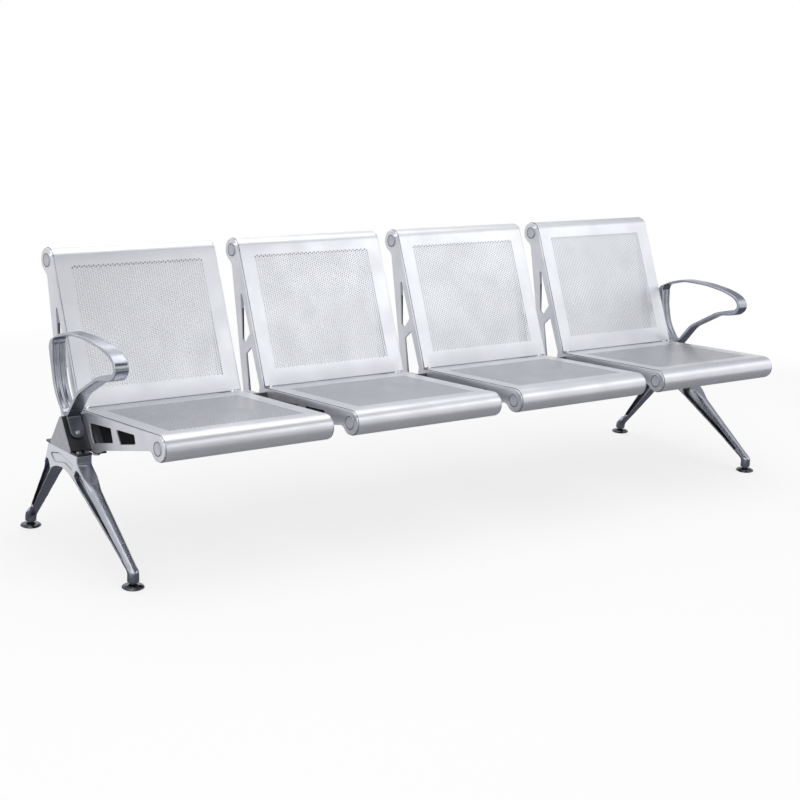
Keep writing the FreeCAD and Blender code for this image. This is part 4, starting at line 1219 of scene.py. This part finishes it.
@dataclass
class Armrest(Casting):
    """A cast armrest, smooth along its strap; its tongue and its channel are rougher, with painted
    shade.

    Attributes:
        tongue_mm: Length of the tongue.
        fade_mm: How far the painted shade fades into the polish above it.
        channel: How much painted shade and roughness the channel in the post gets, and from which
            depth to which.
        flat_mm: From this distance off the CAD's face a point stays, and below this it goes back.
    """

    grid_mm: float = 1.25
    passes: int = 9
    tongue_mm: float = 64.0
    fade_mm: float = 14.0
    channel: Point = (0.7, 1.5, 2.5)
    flat_mm: Pair = (0.4, 0.15)

    def fine(self, mesh: Mesh, spots: np.ndarray) -> np.ndarray:
        """Bring the strap's faces back to the CAD's and leave its edges round.

        Args:
            mesh: The armrest's mesh.
            spots: Its points.

        Returns:
            The points in their last place.
        """
        gap = self.snap(spots, np.ones(len(spots))) - spots
        flat = ramp(np.linalg.norm(gap, axis=1) / MM, *self.flat_mm)
        return self.relax(mesh, spots + flat[:, None] * gap, 5, 0.5)

    def shares(self, spots: np.ndarray, facing: np.ndarray) -> dict[str, np.ndarray]:
        """Tell where the armrest is rougher and painted dark as shade: on its tongue and in its
        channel.

        Args:
            spots: Its points.
            facing: How squarely each point's surface looks along the bench, from 0 to 1.

        Returns:
            The share of painted shade and roughness at each point.
        """
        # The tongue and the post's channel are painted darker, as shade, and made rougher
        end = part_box(self.node)[0].z + self.tongue_mm * MM
        tongue = ramp(spots[:, 2], end, end - self.fade_mm * MM)
        middle, half = self.middle()
        depth = (half - np.abs(spots[:, 0] - middle)) / MM
        rough_and_painted_shade, shallow, deep = self.channel
        channel = rough_and_painted_shade * ramp(depth, shallow, deep) * ramp(facing, 0.5, 0.8)
        return {"rough_and_painted_shade": np.maximum(tongue, channel)}


@dataclass
class Bench:
    """The whole bench: its seats and backs, their frames, and the structure that carries them."""

    seat: Sheet = field(
        default_factory=lambda: Sheet(Side.SEAT, Perforation(57, 46), 422.0, 57.0, 3.5))
    back: Sheet = field(
        default_factory=lambda: Sheet(Side.BACK, Perforation(57, 47), 417.5, 50.0, 22.5))

    def hip(self) -> Vector:
        """Work the hip line out from the box of the first seat.

        Returns:
            A point of the line where seat and back meet.
        """
        low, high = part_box("seat_pan_1")
        angle = math.radians(self.seat.tilt)
        roll, reach = self.seat.roll_mm * MM, self.seat.reach_mm * MM
        ahead = reach * math.cos(angle) + roll * (1 + math.sin(angle))
        rise = reach * math.sin(angle) + roll * (1 - math.cos(angle))
        return Vector((0, low.y + ahead, high.z - rise))

    def structure(self) -> None:
        """Dress the beam, its ends, plates and fasteners, and build the legs and the armrests."""
        dress("beam", BEAM_COAT)
        for hand in HANDS:
            dress("beam_end_cap_" + hand, GREY_PLASTIC)
            dress("leg_plate_" + hand, BEAM_COAT)
            Leg("leg_" + hand).build()
            Armrest("armrest_" + hand).build()
            for seat in SEATS:
                dress("clamp_plate_%s_%d" % (hand, seat), BEAM_COAT)
        for name in ("seat_nuts", "back_nuts", "clamp_bolts", "leg_bolts", "armrest_screws"):
            dress(name, ZINC)

    def build(self) -> None:
        """Build the sheets, the frames, the structure and the feet."""
        lefts = [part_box("side_frame_left_%d" % seat)[0].x for seat in SEATS]
        self.seat.build(self.hip(), lefts)
        self.back.build(self.hip(), lefts)
        Frames(self.seat, self.back, self.hip()).build()
        self.structure()
        for place in PLACES:
            Glide(place).build()


@dataclass
class Lamp:
    """A large soft lamp that looks at the bench."""

    name: str
    place: Point
    size: Pair
    watts: float
    target: Point = (0.0, 0.0, 0.35)

    def build(self) -> None:
        """Hang the lamp."""
        light = bpy.data.lights.new(self.name, "AREA")
        light.shape = "RECTANGLE"
        light.size, light.size_y = self.size
        light.energy = self.watts
        lamp = bpy.data.objects.new(self.name, light)
        lamp.location = self.place
        look = Vector(self.target) - Vector(self.place)
        lamp.rotation_euler = look.to_track_quat("-Z", "Y").to_euler()
        bpy.context.scene.collection.objects.link(lamp)


@dataclass
class Card:
    """A card beside the set, seen only in reflections, that gives metal a darker or brighter side.

    Attributes:
        name: Its name.
        low: One corner.
        high: The opposite corner; a card with both at one height lies flat.
        colour: Its colour, of that strength.
    """

    name: str
    low: Point
    high: Point
    colour: str
    strength: float = 1.0

    def build(self) -> None:
        """Stand the card up."""
        a, b = Vector(self.low), Vector(self.high)
        near, far = (a.y, b.y) if a.z == b.z else (b.y, a.y)
        corners = [a, (b.x, near, a.z), b, (a.x, far, b.z)]
        mesh = bpy.data.meshes.new(self.name)
        mesh.from_pydata(corners, [], [(0, 1, 2, 3)])
        paint = bpy.data.materials.new(self.name)
        paint.use_nodes = True
        tree = paint.node_tree
        glow = add(tree, "ShaderNodeEmission",
                   {"Color": linear(self.colour), "Strength": self.strength})
        tree.links.new(glow.outputs[0], tree.nodes["Material Output"].inputs["Surface"])
        mesh.materials.append(paint)
        piece = solid(self.name, mesh)
        for ray in ("camera", "diffuse", "shadow", "transmission", "volume_scatter"):
            setattr(piece, "visible_" + ray, False)


@dataclass
class Studio:
    """A pale floor that runs out into white, soft lamps, and the camera of the photograph.

    Attributes:
        eye: Place of the camera.
        turn: Its turn from straight ahead, its height above the level and its roll, in degrees.
        lens_mm: Its lens on a 36 mm sensor.
        ambient: Strength of the light that comes from all round.
        floor: Colour of the floor, which goes as far as floor_reach.
        floor_glow: Share of plain white in the floor as it is seen near the bench.
        floor_fade: Distances between which the seen floor turns into plain white.
    """

    eye: Point = (-3.1065, -3.8018, 1.4520)
    turn: Point = (-38.10, 13.12, 2.73)
    lens_mm: float = 74.64
    ambient: float = 0.6
    floor: str = "#f5f5f6"
    floor_glow: float = 0.72
    floor_fade: Pair = (1.6, 3.2)
    floor_reach: float = 30.0
    cards: tuple[Card, ...] = (
        Card("Floor_flag", (-1.45, -2.1, 0.003), (3.3, 0.55, 0.003), "#6e7076"),
        Card("Front_flag", (-1.0, -5.0, 0.0), (2.6, -5.0, 1.1), "#65676d"),
        Card("Right_flag", (5.0, -1.0, 1.8), (5.0, 4.0, 4.8), "#a6a8ae"),
        Card("Upper_flag", (-0.9, -3.2, 2.8), (1.5, -0.9, 2.8), "#26282c"),
        Card("Right_card", (4.6, -3.4, 0.8), (4.6, -0.7, 4.4), "#ffffff", 1.25),
        Card("Right_floor_card", (3.3, -3.6, 0.004), (4.6, -1.7, 0.004), "#ffffff", 1.9),
    )
    lamps: tuple[Lamp, ...] = (
        Lamp("Overhead", (0.2, -0.2, 3.6), (4.6, 2.4), 46.0),
        Lamp("Key", (-3.6, -2.4, 3.0), (3.2, 2.6), 46.0),
        Lamp("Front", (3.2, -3.4, 3.4), (4.4, 1.4), 26.0),
        Lamp("Rear", (0.0, 3.6, 2.6), (4.0, 1.6), 22.0),
    )

    def camera(self) -> None:
        """Set the camera where the photograph was taken from."""
        turn, rise, roll = (math.radians(angle) for angle in self.turn)
        level = Euler((math.radians(90) - rise, 0, turn)).to_matrix()
        level @= Matrix.Rotation(roll, 3, "Z")
        lens = bpy.data.cameras.new("Camera")
        lens.lens = self.lens_mm
        lens.sensor_width = 36.0
        eye = bpy.data.objects.new("Camera", lens)
        eye.matrix_world = Matrix.Translation(self.eye) @ level.to_4x4()
        bpy.context.scene.collection.objects.link(eye)
        bpy.context.scene.camera = eye

    def world(self) -> None:
        """Light from all round, seen as white by the camera and in reflections."""
        world = bpy.data.worlds.new("World")
        bpy.context.scene.world = world
        world.use_nodes = True
        tree = world.node_tree
        tree.nodes.clear()
        path = add(tree, "ShaderNodeLightPath").outputs
        seen = maths(tree, "MAXIMUM", sight(tree), path["Is Transmission Ray"])
        light, white = (add(tree, "ShaderNodeBackground", {"Color": WHITE, "Strength": strength})
                        for strength in (self.ambient, 1.0))
        blend = add(tree, "ShaderNodeMixShader",
                    {0: seen, 1: light.outputs[0], 2: white.outputs[0]})
        add(tree, "ShaderNodeOutputWorld", {"Surface": blend.outputs[0]})

    def bright_flat(self) -> None:
        """Lay the floor, diffuse near the bench and plain white far from it."""
        mesh = bpy.data.meshes.new("Floor")
        far = self.floor_reach
        mesh.from_pydata([(-far, -far, 0), (far, -far, 0), (far, far, 0), (-far, far, 0)], [],
                         [(0, 1, 2, 3)])
        paint = bpy.data.materials.new("Pale floor")
        paint.use_nodes = True
        tree = paint.node_tree
        shader = tree.nodes["Principled BSDF"]
        shader.inputs["Base Color"].default_value = linear(self.floor)
        shader.inputs["Roughness"].default_value = 1.0
        shader.inputs["Specular IOR Level"].default_value = 0.0
        place = add(tree, "ShaderNodeTexCoord").outputs["Object"]
        away = add(tree, "ShaderNodeVectorMath", {0: place}, operation="LENGTH").outputs["Value"]
        start, end = self.floor_fade
        fade = add(tree, "ShaderNodeMapRange", {"Value": away, "From Min": start, "From Max": end},
                   interpolation_type="SMOOTHSTEP").outputs["Result"]
        share = maths(tree, "MULTIPLY", maths(tree, "MAXIMUM", fade, self.floor_glow), sight(tree))
        white = add(tree, "ShaderNodeEmission", {"Color": WHITE, "Strength": 1.0})
        blend = add(tree, "ShaderNodeMixShader",
                    {0: share, 1: shader.outputs[0], 2: white.outputs[0]})
        tree.links.new(blend.outputs[0], tree.nodes["Material Output"].inputs["Surface"])
        mesh.materials.append(paint)
        solid("Floor", mesh)

    def build(self) -> None:
        """Set up the camera, the world, the floor, the lamps and the cards."""
        self.camera()
        self.world()
        self.bright_flat()
        for hung in self.lamps + self.cards:
            hung.build()
        bpy.context.scene.view_settings.view_transform = "Standard"


def main() -> None:
    """Build the bench and the studio round it."""
    logging.basicConfig(level=logging.INFO, format="%(name)s %(message)s")
    Bench().build()
    Studio().build()


if __name__ == "__main__":
    main()
